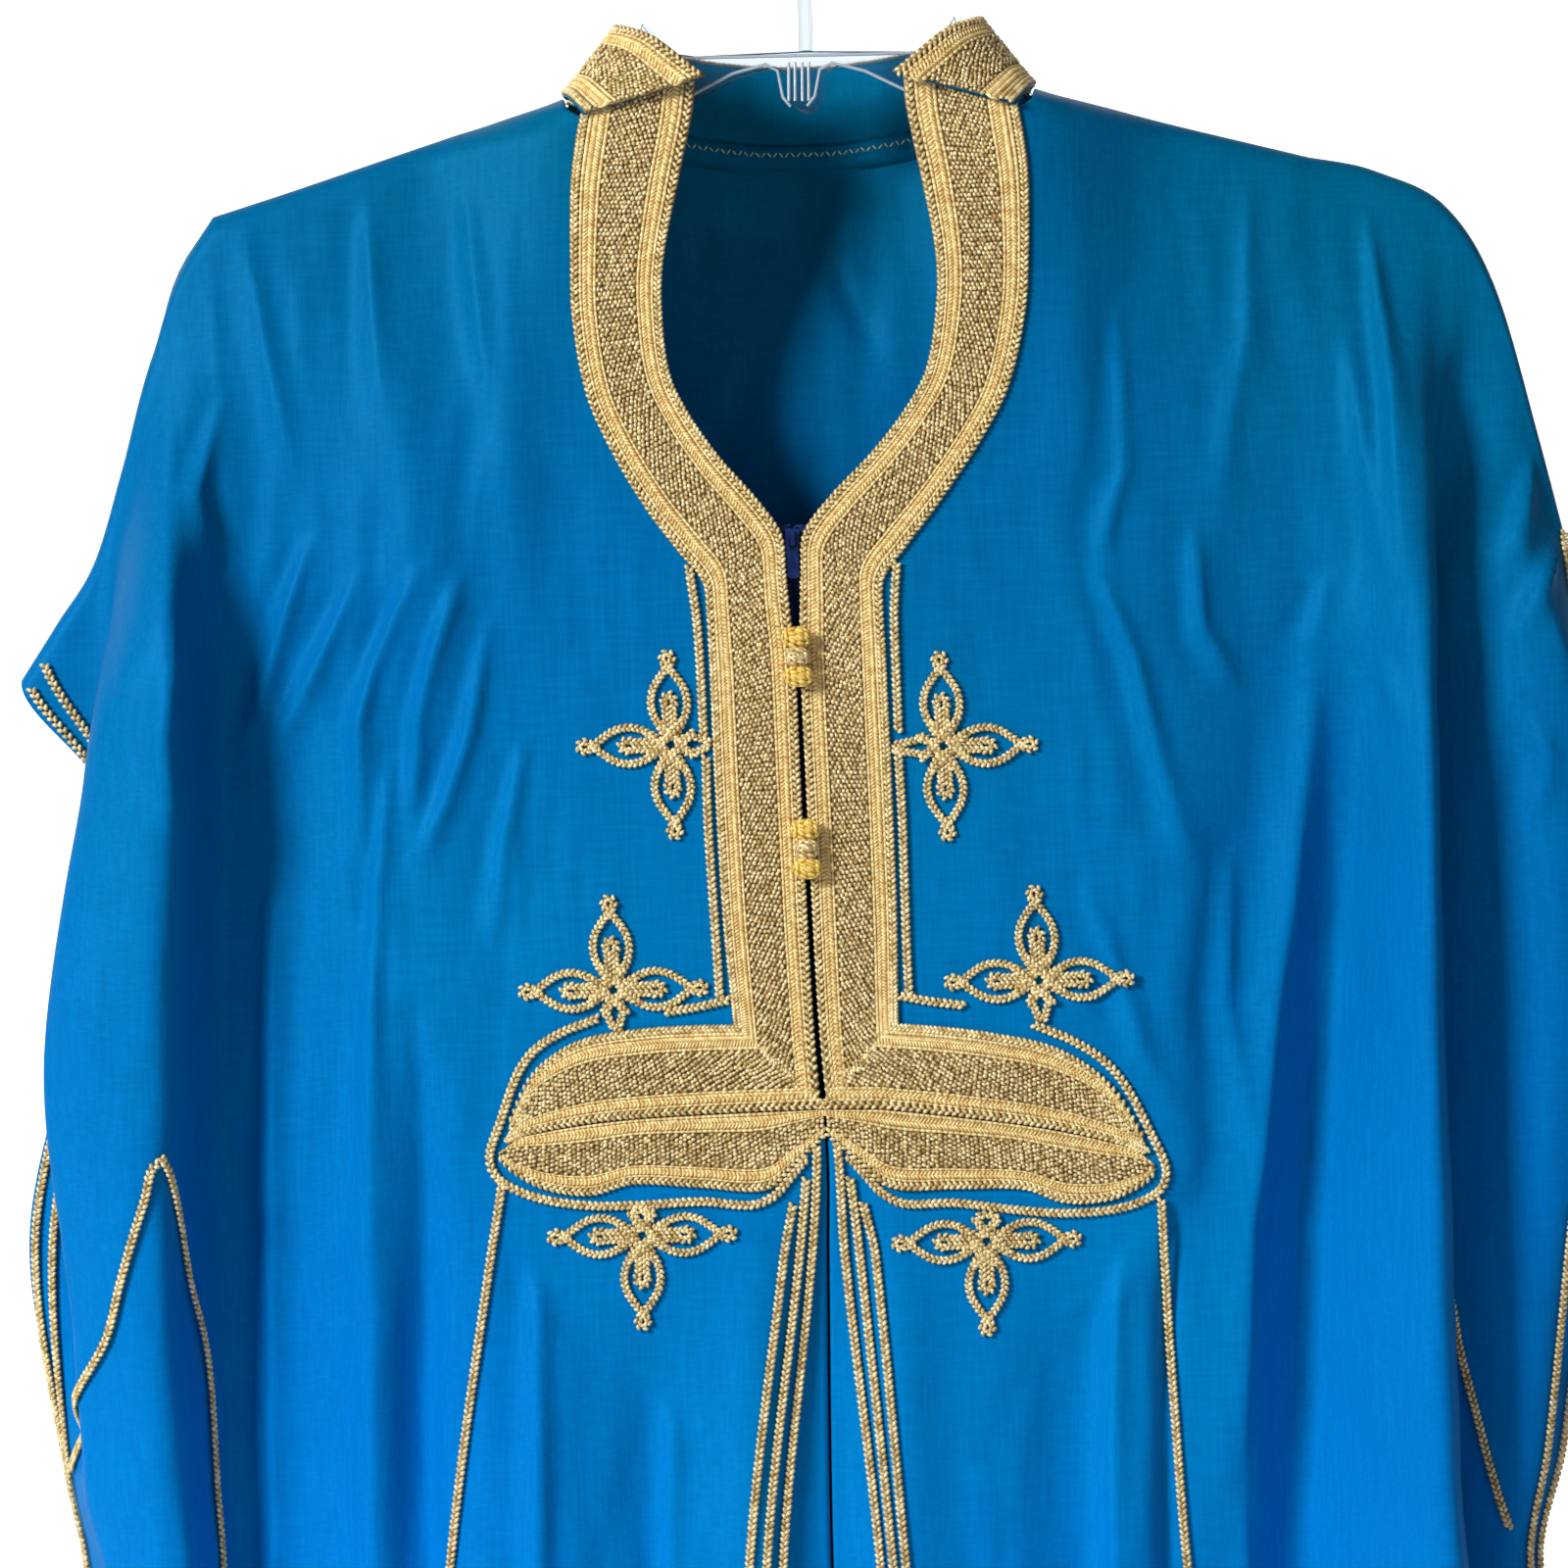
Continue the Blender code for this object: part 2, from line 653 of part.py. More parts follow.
def cloth_panel(name, rows):
    """A panel: its outer face is given, and the wall goes inwards."""
    made = keep(name, grid_mesh(name, rows), cloth_material())
    wall = made.modifiers.new("wall", "SOLIDIFY")
    wall.thickness = WALL * MM
    wall.offset = -1.0
    return made


def front_rows(side):
    places = BODY_SHARES + SIDE_LINES
    shares = [drop / DROPS[-1] for drop in DROPS]
    rows = [[cloth_point("front", side, place, share) for place in places] for share in shares]
    return rows if side == "right" else [row[::-1] for row in rows]


def back_rows():
    right = BACK_SHARES + BACK_SIDE_LINES
    shares = [drop / BACK_DROPS[-1] for drop in BACK_DROPS]
    rows = []
    for share in shares:
        outer = [cloth_point("back", "right", place, share) for place in right[::-1]]
        inner = [cloth_point("back", "left", place, share) for place in right[1:]]
        rows.append(outer + inner)
    return rows


def cloth_surface(panels):
    """A search tree over the outer faces, in millimetres, before the sway."""
    points, faces = [], []
    for rows in panels:
        across, start = len(rows[0]), len(points)
        points += [tuple(point) for row in rows for point in row]
        for r in range(len(rows) - 1):
            for c in range(across - 1):
                a = start + r * across + c
                faces += [(a, a + 1, a + across), (a + 1, a + across + 1, a + across)]
    return BVHTree.FromPolygons(points, faces)


def front_y(x, z, reach=3.0):
    """Y of the front's foremost cloth close to (x, z), looking from the front."""
    found = []
    for dx in (-reach, 0.0, reach):
        for dz in (-reach, 0.0, reach):
            hit = FRONT.ray_cast(Vector((x + dx, -200.0, z + dz)), Vector((0.0, 1.0, 0.0)))
            if hit[0] is not None and hit[0].y < -2.0:
                found.append(hit[0].y)
    if found:
        return min(found)
    return FRONT.find_nearest(Vector((x, -27.0, z)))[0].y


def lofted(name, rings):
    """A closed solid through rings of as many points each, with flat ends."""
    shape = bmesh.new()
    made = [[shape.verts.new(point) for point in ring] for ring in rings]
    count = len(rings[0])
    for first, second in zip(made, made[1:]):
        for k in range(count):
            n = (k + 1) % count
            shape.faces.new((first[k], first[n], second[n], second[k]))
    shape.faces.new(made[0][::-1])
    shape.faces.new(made[-1])
    bmesh.ops.recalc_face_normals(shape, faces=shape.faces)
    mesh = bpy.data.meshes.new(name)
    shape.to_mesh(mesh)
    shape.free()
    return mesh


def resampled(points, step):
    """Points at even distances, about a step apart, on a smooth curve through the given ones."""
    points = [np.array(point, float) for point in points]
    lengths = [0.0]
    for first, second in zip(points, points[1:]):
        lengths.append(lengths[-1] + float(np.linalg.norm(second - first)))
    count = max(2, round(lengths[-1] / step) + 1)
    axes = range(len(points[0]))
    rows = [list(zip(lengths, (point[axis] for point in points))) for axis in axes]
    ats = np.linspace(0.0, lengths[-1], count)
    return [tuple(curve_at(rows[axis], at) for axis in axes) for at in ats]


def ribbon_rings(edges, section, side):
    """Rings of a strip laid on the front: its two edges at each station, and its section."""
    rings = []
    for inner_x, inner_z, outer_x, outer_z in edges:

        def place(share, height):
            x = side * (inner_x + (outer_x - inner_x) * share)
            z = inner_z + (outer_z - inner_z) * share
            return x, front_y(x, z) - TRIM_LIFT - height, z

        ring = [place(share, height) for share, height in section]
        if section[0][1] > 0.0:
            for share in (1.0, 0.5, 0.0):
                near = [place(min(max(share + step, 0.0), 1.0), 0.0)[1] for step in (-0.25, 0.0, 0.25)]
                x, _, z = place(share, 0.0)
                ring.append((x, min(near), z))
        rings.append(ring)
    return rings


def braid_strip(name, rows, section, side, droop=0.0):
    """A flat braid with raised edges and middle, on the front."""
    edges = [(*row.inner, *row.outer) for row in rows]
    dense = resampled(edges, BRAID_STEP)
    if droop:
        dense = [(a, drooped(a, b, droop), c, drooped(c, d, droop)) for a, b, c, d in dense]
    return keep(name, lofted(name, ribbon_rings(dense, section, side)), gold_material())


def drooped(x, z, droop):
    return z - droop * max(0.0, x - DROOP_START)


def at_panel_rows(points):
    """Points where a cord that runs down the skirt crosses the panel's own rows."""
    rows = [(z, x) for x, z in points]
    rows_z = [NECK_SIDE_Z - 1.0 - drop for drop in DROPS]
    between = [(high + low) / 2 for high, low in zip(rows_z, rows_z[1:]) if low > CORD_FINE_TO]
    heights = sorted(rows_z + between, reverse=True)
    inside = [z for z in heights if points[-1][1] + 8.0 < z < points[0][1] - 6.0]
    return [(curve_at(rows, z), z) for z in (points[0][1], *inside, points[-1][1])]


def cord_on_front(name, points, step, side, droop=0.0):
    """A couched cord along hand-set points (out from the centre, height) on the front."""
    path = resampled(points, step) if step else at_panel_rows(points)
    if droop:
        path = [(x, drooped(x, z, droop)) for x, z in path]
    edges = []
    for k, (x, z) in enumerate(path):
        before, after = path[max(k - 1, 0)], path[min(k + 1, len(path) - 1)]
        run = np.array((after[0] - before[0], after[1] - before[1]))
        across = np.array((-run[1], run[0])) / np.linalg.norm(run) * CORD_WIDTH / 2
        edges.append((x - across[0], z - across[1], x + across[0], z + across[1]))
    return keep(name, lofted(name, ribbon_rings(edges, CORD_SECTION, side)), cord_material())


def panel_grid(face):
    """The panel's grid lines on one side: drape places across, and shares of the drop down."""
    places, drops = (BODY_SHARES + SIDE_LINES, DROPS)
    if face == "back":
        places, drops = (BACK_SHARES + BACK_SIDE_LINES, BACK_DROPS)
    return places, [drop / drops[-1] for drop in drops]


def side_top_z(side, place):
    """Height of the side's top line over a drape place."""
    return curve_at([(k + 1, top[1]) for k, top in enumerate(LINE_TOPS[side])], place)


def panel_facet(face, side, place, share):
    """Point, outward normal and width per place of the panel's own flat facet there."""
    places, shares = panel_grid(face)
    place = min(max(place, places[0]), places[-1])
    c = max(k for k in range(len(places) - 1) if places[k] <= place)
    r = max(k for k in range(len(shares) - 1) if shares[k] <= share + 1e-9)
    wide = places[c + 1] - places[c]
    u = (place - places[c]) / wide
    v = (share - shares[r]) / (shares[r + 1] - shares[r])
    near, far = [
        [cloth_point(face, side, places[c + i], shares[r + j]) for i in (0, 1)] for j in (0, 1)
    ]
    mirrored = (face == "front") == (side == "left")
    if (v <= u) if mirrored else (u + v <= 1.0):
        across = near[1] - near[0]
        down = far[1] - near[1] if mirrored else far[0] - near[0]
        point = near[0] + across * u + down * v
    else:
        across = far[1] - far[0]
        down = far[0] - near[0] if mirrored else far[1] - near[1]
        point = far[1] - across * (1 - u) - down * (1 - v)
    normal = np.cross(across, down) * SIDES[side] * (-1 if face == "front" else 1)
    return point, normal / np.linalg.norm(normal), float(np.linalg.norm(across)) / wide


def cord_stations(face, side, places_and_heights):
    """(place, share of the drop) stations, with one more wherever the facets rise between two."""
    found = []
    for place, z in places_and_heights:
        top_z = side_top_z(side, place)
        found.append((place, (top_z - z) / (top_z - HEM_Z)))
    dense = [found[0]]
    for first, second in zip(found, found[1:]):
        start, normal, _ = panel_facet(face, side, *first)
        end = panel_facet(face, side, *second)[0]
        rises = []
        for t in (0.2, 0.35, 0.5, 0.65, 0.8):
            at = [a + (b - a) * t for a, b in zip(first, second)]
            point, normal, _ = panel_facet(face, side, *at)
            rises.append((float(np.dot(point - start - (end - start) * t, normal)), tuple(at)))
        rise, at = max(rises)
        if rise > FACET_RISE:
            dense.append(at)
        dense.append(second)
    return dense


def cord_on_panel(name, face, side, places_and_heights, lift=TRIM_LIFT):
    """A couched cord along (drape place, height) points, on either face, folds and all."""
    stations = cord_stations(face, side, places_and_heights)
    centres = [panel_facet(face, side, *station) for station in stations]
    rings = []
    for k, (centre, normal, width) in enumerate(centres):
        run = centres[min(k + 1, len(centres) - 1)][0] - centres[max(k - 1, 0)][0]
        across = np.cross(run, normal)
        across = across / np.linalg.norm(across) * CORD_WIDTH / 2
        place, share = stations[k]
        step = CORD_WIDTH / 2 / width
        beside = [panel_facet(face, side, place + way, share)[0] for way in (-step, step)]
        rise = max(0.0, *(float(np.dot(point - centre, normal)) for point in beside))
        base = centre + normal * (lift + rise)
        rings.append([base - across, base + normal * CORD_HEIGHT, base + across])
    return keep(name, lofted(name, rings), cord_material())


def make_edge_cords():
    for side in SIDES:
        for face in ("front", "back"):
            shares = panel_grid(face)[1]
            for name, place in EDGE_CORDS:
                top_z = side_top_z(side, place)
                heights = [top_z + (HEM_Z - top_z) * share for share in shares[3:]]
                heights[-1] += 1.0
                stations = [(place, z) for z in heights]
                cord_on_panel(f"{name}_{face}_{side}", face, side, stations, EDGE_CORD_LIFT[face])


def make_seam_cords():
    for side, cords in SEAM_CORDS.items():
        for cord in cords:
            cord_on_panel(f"{cord.name}_{side}", "front", side, cord.stations, SEAM_CORD_LIFT)


def prism(shape, outline, low, high):
    """Add an upright prism over a flat (u, v) outline."""
    lower = [shape.verts.new((u, v, low)) for u, v in outline]
    upper = [shape.verts.new((u, v, high)) for u, v in outline]
    count = len(outline)
    for k in range(count):
        n = (k + 1) % count
        shape.faces.new((lower[k], lower[n], upper[n], upper[k]))
    shape.faces.new(lower[::-1])
    shape.faces.new(upper)


def ring_prism(shape, inner, outer, low, high):
    """Add a closed band between two flat outlines with as many points each."""
    loops = [[shape.verts.new((u, v, h)) for u, v in line] for line, h in
             ((inner, low), (outer, low), (outer, high), (inner, high))]
    count = len(inner)
    for a in range(4):
        first, second = loops[a], loops[(a + 1) % 4]
        for k in range(count):
            n = (k + 1) % count
            shape.faces.new((first[k], first[n], second[n], second[k]))


def petal_outline(length, half_width, start):
    """A drop-shaped outline from its root to its point, along +v."""
    sides = []
    for share in (0.12, 0.34, 0.58, 0.82):
        wide = half_width * math.sin(math.pi * share**0.8) ** 0.8
        sides.append((wide, start + length * share))
    right = [(0.0, start), *sides, (0.0, start + length)]
    return right + [(-u, v) for u, v in sides[::-1]]


def round_outline(u, v, radius, count):
    turns = [2 * math.pi * k / count + 0.3 for k in range(count)]
    return [(u + radius * math.cos(turn), v + radius * math.sin(turn)) for turn in turns]


def turned(outline, degrees):
    c, s = math.cos(math.radians(degrees)), math.sin(math.radians(degrees))
    return [(u * c - v * s, u * s + v * c) for u, v in outline]


def flat_motif(root):
    """One knotted cord motif lying flat: three looped petals round a knot, and its root."""
    shape = bmesh.new()
    for degrees in (0, 90, -90):
        outer = petal_outline(PETAL_LENGTH, PETAL_HALF_WIDTH, 1.0)
        inner = petal_outline(PETAL_LENGTH - 8.5, PETAL_HALF_WIDTH - 3.0, 4.6)
        ring_prism(shape, turned(inner, degrees), turned(outer, degrees), 0.0, 1.6)
        eyelet = turned(round_outline(0.0, EYELET_AT, EYELET_RADIUS, 6), degrees)
        prism(shape, eyelet, 0.0, 1.6)
        bud = turned(round_outline(0.0, BUD_AT, BUD_RADIUS, 6), degrees)
        prism(shape, bud, 0.0, 1.6)
        stem = turned([(-1.2, 3.0), (1.2, 3.0), (1.2, BUD_AT), (-1.2, BUD_AT)], degrees)
        prism(shape, stem, 0.0, 1.6)
    prism(shape, round_outline(0.0, 0.0, 6.2, 8), 0.0, 2.3)
    prism(shape, [(-3.6, -root), (3.6, -root), (3.6, -2.0), (-3.6, -2.0)], 0.0, 1.6)
    bmesh.ops.recalc_face_normals(shape, faces=shape.faces)
    mesh = bpy.data.meshes.new("motif_shells")
    shape.to_mesh(mesh)
    shape.free()
    return joined_shells(mesh)


def joined_shells(mesh):
    """One closed body from shells that overlap."""
    whole = bpy.data.objects.new("motif_shells", mesh)
    seed_shape = bmesh.new()
    prism(seed_shape, round_outline(0.0, 0.0, 2.0, 5), 0.0, 2.2)
    bmesh.ops.recalc_face_normals(seed_shape, faces=seed_shape.faces)
    seed_mesh = bpy.data.meshes.new("motif_seed")
    seed_shape.to_mesh(seed_mesh)
    seed_shape.free()
    seed = bpy.data.objects.new("motif_seed", seed_mesh)
    for helper in (whole, seed):
        HELPERS.objects.link(helper)
    union = whole.modifiers.new("one body", "BOOLEAN")
    union.operation = "UNION"
    union.solver = "EXACT"
    union.use_self = True
    union.object = seed
    graph = bpy.context.evaluated_depsgraph_get()
    result = bpy.data.meshes.new_from_object(whole.evaluated_get(graph))
    for helper in (whole, seed):
        bpy.data.objects.remove(helper)
    tidy = bmesh.new()
    tidy.from_mesh(result)
    bmesh.ops.remove_doubles(tidy, verts=tidy.verts, dist=0.02)
    bmesh.ops.dissolve_limit(tidy, angle_limit=0.01, verts=tidy.verts, edges=tidy.edges)
    bmesh.ops.triangulate(tidy, faces=tidy.faces)
    tidy.to_mesh(result)
    tidy.free()
    return result


def make_motifs():
    for motif in MOTIFS:
        mesh = flat_motif(motif.root)
        mesh.name = motif.name
        c, s = math.cos(math.radians(motif.root_turn)), math.sin(math.radians(motif.root_turn))
        for vertex in mesh.vertices:
            u, v, height = vertex.co
            turned_u, turned_v = -u * c - v * s, u * s - v * c
            x = motif.side * motif.x + turned_u
            z = motif.z + turned_v
            y = front_y(x, z, MOTIF_REACH) - TRIM_LIFT - height
            vertex.co = (x, y, z)
        turn_outwards(mesh)
        keep(motif.name, mesh, cord_material())


def turn_outwards(mesh):
    shape = bmesh.new()
    shape.from_mesh(mesh)
    bmesh.ops.recalc_face_normals(shape, faces=shape.faces)
    if shape.calc_volume(signed=True) < 0.0:
        bmesh.ops.reverse_faces(shape, faces=shape.faces)
    shape.to_mesh(mesh)
    shape.free()


def collar_stations(step):
    """(base, top, outward) round the collar from the right mitre to the left one."""
    half = [(*row.base, *row.top) for row in COLLAR]
    mirrored = [(-a, b, c, -d, e, f) for a, b, c, d, e, f in half[-2::-1]]
    found = []
    for row in resampled(half + mirrored, step):
        found.append([np.array(row[:3]), np.array(row[3:])])
    for k, (base, top) in enumerate(found):
        before, after = found[max(k - 1, 0)], found[min(k + 1, len(found) - 1)]
        run = after[0] + after[1] - before[0] - before[1]
        outward = np.cross(run, top - base)
        found[k] = (base, top, outward / np.linalg.norm(outward))
    return found


def make_collar():
    stations = collar_stations(COLLAR_STEP)
    rings = []
    for base, top, outward in stations:
        face = [base + (top - base) * share for share in COLLAR_SHARES]
        rings.append(face + [point - outward * WALL for point in face[::-1]])
    keep("collar_stand", lofted("collar_stand", rings), cloth_material())
    rings = []
    for base, top, outward in stations:
        low = base + (top - base) * 0.05
        high = top + (top - base) * 0.02
        ring = [low + (high - low) * share + outward * (COLLAR_LIFT + h) for share, h in BAND_SECTION]
        ring += [low + (high - low) * share + outward * COLLAR_LIFT for share in COLLAR_SHARES[::-1]]
        rings.append(ring[1:] + ring[:1])
    keep("collar_braid", lofted("collar_braid", rings), gold_material())


def make_braids():
    for side, sign in SIDES.items():
        braid_strip(f"neck_braid_{side}", NECK_BRAID, BRAID_SECTION, sign)
        braid_strip(f"waist_braid_upper_{side}", WAIST_UPPER, BAND_SECTION, sign, DROOP[side])
        braid_strip(f"waist_braid_lower_{side}", WAIST_LOWER, BAND_SECTION, sign, DROOP[side])


def make_cords():
    for side, sign in SIDES.items():
        for cord in CORDS + SKIRT_CORDS[side]:
            droop = DROOP[side] if cord.droops else 0.0
            cord_on_front(f"{cord.name}_{side}", cord.points, cord.step, sign, droop)


def box_mesh(shape, low, high):
    """Add a box between two corners to a bmesh."""
    for vertex in bmesh.ops.create_cube(shape, size=1.0)["verts"]:
        vertex.co = [a + (b - a) * (c + 0.5) for a, b, c in zip(low, high, vertex.co)]


def zip_y():
    """Y of the fronts' outer face beside the zip's top."""
    return front_y(8.0, ZIP_TOP_Z - 6.0, 1.0)


def make_zip():
    for side, sign in SIDES.items():
        rings = []
        for z in np.linspace(ZIP_TOP_Z + 3.0, WAIST_Z - 8.0, 15):
            y = front_y(sign * 9.0, z, 2.0) + 2.0 * WALL + SEAM_GAP + 1.2
            near, far = sign * 0.8, sign * 13.0
            rings.append([(near, y - 0.9, z), (far, y - 0.9, z), (far, y, z), (near, y, z)])
        keep(f"zip_tape_{side}", lofted(f"zip_tape_{side}", rings), zip_material())
    face = zip_y()
    front = face - WALL
    rings = []
    for rise, half in SLIDER_ROWS:
        z = PULL_PIVOT_Z + rise
        ring = [(-half, front, z), (half, front, z), (half, face + 2.0, z), (-half, face + 2.0, z)]
        rings.append(ring)
    body = lofted("zip_slider", rings)
    bridge = bmesh.new()
    wide = BRIDGE_HALF_WIDTH
    strap_in, strap_out = front - BRIDGE_CLEAR, front - BRIDGE_CLEAR - 0.9
    for rise in BRIDGE_POSTS:
        z = PULL_PIVOT_Z + rise
        low = (-wide, strap_in - 0.2, z - BRIDGE_POST_HALF)
        box_mesh(bridge, low, (wide, front + 0.4, z + BRIDGE_POST_HALF))
    z_low, z_high = [PULL_PIVOT_Z + rise for rise in BRIDGE_STRAP]
    box_mesh(bridge, (-wide - 0.02, strap_out, z_low), (wide + 0.02, strap_in, z_high))
    bridge_mesh = bpy.data.meshes.new("bridge")
    bridge.to_mesh(bridge_mesh)
    bridge.free()
    union_pair("zip_slider", body, bridge_mesh, zip_material())
    make_pull(front - BRIDGE_CLEAR / 2)


def union_pair(name, first, second, finish):
    """Keep the first mesh with the second fused to it."""
    base = bpy.data.objects.new(name + "_base", first)
    other = bpy.data.objects.new(name + "_other", second)
    for helper in (base, other):
        HELPERS.objects.link(helper)
    union = base.modifiers.new("fused", "BOOLEAN")
    union.operation = "UNION"
    union.solver = "EXACT"
    union.use_self = True
    union.object = other
    graph = bpy.context.evaluated_depsgraph_get()
    result = bpy.data.meshes.new_from_object(base.evaluated_get(graph))
    for helper in (base, other):
        bpy.data.objects.remove(helper)
    result.name = name
    return keep(name, result, finish)


def make_pull(y):
    """The pull tab: a plate with a slot round the slider's bridge, turning on its top bar."""
    wide, bar, rail = PULL_HALF_WIDTH, 0.45, 1.15
    slot_end = 4.2
    outline = bpy.data.curves.new("zip_pull_outline", "CURVE")
    outline.dimensions = "2D"
    outline.fill_mode = "BOTH"
    outline.extrude = PULL_HALF_THICKNESS
    outer = (
        (-1.7, bar),
        (1.7, bar),
        (1.8, -slot_end),
        (wide, -slot_end - 2.0),
        (wide, -PULL_LENGTH + 1.2),
        (1.2, -PULL_LENGTH),
        (-1.2, -PULL_LENGTH),
        (-wide, -PULL_LENGTH + 1.2),
        (-wide, -slot_end - 2.0),
        (-1.8, -slot_end),
    )
    slot = ((-rail, -bar), (-rail, -slot_end), (rail, -slot_end), (rail, -bar))
    for points in (outer, slot):
        spline = outline.splines.new("POLY")
        spline.points.add(len(points) - 1)
        for point, (u, v) in zip(spline.points, points):
            point.co = (u, v, 0.0, 1.0)
        spline.use_cyclic_u = True
    helper = bpy.data.objects.new("zip_pull_outline", outline)
    HELPERS.objects.link(helper)
    graph = bpy.context.evaluated_depsgraph_get()
    mesh = bpy.data.meshes.new_from_object(helper.evaluated_get(graph))
    bpy.data.objects.remove(helper)
    for vertex in mesh.vertices:
        u, v, height = vertex.co
        vertex.co = (u, y - height, PULL_PIVOT_Z + v)
    shape = bmesh.new()
    shape.from_mesh(mesh)
    bmesh.ops.remove_doubles(shape, verts=shape.verts, dist=0.001)
    shape.to_mesh(mesh)
    shape.free()
    turn_outwards(mesh)
    mesh.name = "zip_pull"
    keep("zip_pull", mesh, zip_material())


def make_closures():
    for closure, z in CLOSURES:
        for bead in BEADS:
            name = f"closure_{closure}_{bead.name}"
            shape = bmesh.new()
            bmesh.ops.create_uvsphere(shape, u_segments=10, v_segments=6, radius=1.0)
            y = front_y(0.0, z, 8.0) - TRIM_LIFT - 2.4 - SEAM_GAP - bead.half_depth
            for vertex in shape.verts:
                u, v, w = vertex.co
                vertex.co = (
                    u * bead.half_width,
                    y + v * bead.half_depth,
                    z + bead.rise + w * bead.half_height,
                )
            mesh = bpy.data.meshes.new(name)
            shape.to_mesh(mesh)
            shape.free()
            finish = cord_material() if bead.metallic else knob_material()
            keep(name, mesh, finish)


def make_hanger():
    right = HANGER_UPPER + HANGER_LOWER
    left = [(-x, z) for x, z in right[-2:0:-1]]
    outline = bpy.data.curves.new("hanger_body", "CURVE")
    outline.dimensions = "2D"
    outline.fill_mode = "BOTH"
    outline.extrude = HANGER_HALF_THICKNESS
    spline = outline.splines.new("POLY")
    points = list(right) + left
    spline.points.add(len(points) - 1)
    for point, (x, z) in zip(spline.points, points):
        point.co = (x, z, 0.0, 1.0)
    spline.use_cyclic_u = True
    helper = bpy.data.objects.new("hanger_outline", outline)
    HELPERS.objects.link(helper)
    graph = bpy.context.evaluated_depsgraph_get()
    mesh = bpy.data.meshes.new_from_object(helper.evaluated_get(graph))
    bpy.data.objects.remove(helper)
    for vertex in mesh.vertices:
        x, z, depth = vertex.co
        vertex.co = (x, -depth, z)
    shape = bmesh.new()
    shape.from_mesh(mesh)
    bmesh.ops.remove_doubles(shape, verts=shape.verts, dist=0.001)
    shape.to_mesh(mesh)
    shape.free()
    turn_outwards(mesh)
    mesh.name = "hanger_body"
    keep("hanger_body", mesh, plastic_material(), sways=False)
    make_hook()


def make_hook():
    """A round hook whose inside top is the origin, on a straight stem."""
    centre_z = HOOK_WIRE - HOOK_RADIUS
    path = [(0.0, HANGER_UPPER[0][1] + SEAM_GAP), (0.0, -64.0), (0.0, -54.0), (3.0, -46.0), (10.0, -38.0)]
    for degrees in range(-50, 215, 15):
        turn = math.radians(degrees)
        path.append((HOOK_RADIUS * math.cos(turn), centre_z + HOOK_RADIUS * math.sin(turn)))
    wire = bpy.data.curves.new("hanger_hook", "CURVE")
    wire.dimensions = "3D"
    wire.bevel_depth = HOOK_WIRE * MM
    wire.bevel_resolution = 1
    wire.use_fill_caps = True
    spline = wire.splines.new("POLY")
    spline.points.add(len(path) - 1)
    for point, (x, z) in zip(spline.points, path):
        point.co = (x * MM, 0.0, z * MM, 1.0)
    wire.materials.append(plastic_material())
    made = bpy.data.objects.new("hanger_hook", wire)
    GARMENT.objects.link(made)


for old in list(bpy.data.objects):
    bpy.data.objects.remove(old)
GARMENT = bpy.data.collections.new("Kaftan on a hanger")
HELPERS = bpy.data.collections.new("Helpers")
for collection in (GARMENT, HELPERS):
    bpy.context.scene.collection.children.link(collection)

fronts = {side: front_rows(side) for side in SIDES}
FRONT = cloth_surface(fronts.values())
for side, rows in fronts.items():
    cloth_panel(f"front_panel_{side}", rows)
cloth_panel("back_panel", back_rows())
make_collar()
make_braids()
make_cords()
make_edge_cords()
make_seam_cords()
make_motifs()
make_zip()
make_closures()
make_hanger()
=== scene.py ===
# %% [markdown]
# # A ceremonial kaftan on a clear hanger
# The garment is cut wide, as two fronts and a back of thin blue cloth. It hangs from a clear
# plastic hanger, so each side falls into one big fold with the open sleeve edge beside it.
# Yellow silk and metallic braid frames the neck and the zip, and plaited cord draws knots,
# seams and edges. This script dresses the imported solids, which stay where they are.

# %% Load the fixed frame
import math
import random
from collections import namedtuple

import bmesh
import bpy
import numpy as np
from mathutils import Matrix, Vector, noise
from mathutils.bvhtree import BVHTree


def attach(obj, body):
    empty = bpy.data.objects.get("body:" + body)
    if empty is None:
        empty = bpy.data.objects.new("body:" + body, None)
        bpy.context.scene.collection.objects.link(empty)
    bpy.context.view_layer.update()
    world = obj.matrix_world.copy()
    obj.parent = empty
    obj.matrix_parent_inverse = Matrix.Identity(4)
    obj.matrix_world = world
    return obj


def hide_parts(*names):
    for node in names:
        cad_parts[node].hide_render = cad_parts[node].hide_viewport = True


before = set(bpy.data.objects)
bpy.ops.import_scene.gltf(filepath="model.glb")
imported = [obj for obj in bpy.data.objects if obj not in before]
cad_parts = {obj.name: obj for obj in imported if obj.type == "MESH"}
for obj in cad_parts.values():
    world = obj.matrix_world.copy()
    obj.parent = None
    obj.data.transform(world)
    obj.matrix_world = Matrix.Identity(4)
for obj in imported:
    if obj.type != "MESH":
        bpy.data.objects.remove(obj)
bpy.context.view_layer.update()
MM = 0.001
SIDES = {"left": -1, "right": 1}
random.seed(7)

# %% [markdown]
# ## Camera, backdrop and light
# The picture looks straight at the chest from about a person's distance, with the camera
# rolled a little over one degree. A long lens keeps the sides from leaning. The wall far
# behind is lit white, as in a cut-out picture. One large soft light stands up and to the left,
# and a weak one in front of the dress fills the shadows.

# %% A new object, and a piece from a bmesh
def linked(name, data):
    """A new object in the scene, unturned at the origin."""
    made = bpy.data.objects.new(name, data)
    bpy.context.scene.collection.objects.link(made)
    return made


def meshed(name, shape, finish_used):
    """The bmesh as a smooth piece with one finish."""
    for face in shape.faces:
        face.smooth = True
    mesh = bpy.data.meshes.new(name)
    shape.to_mesh(mesh)
    shape.free()
    mesh.materials.append(finish_used)
    return linked(name, mesh)


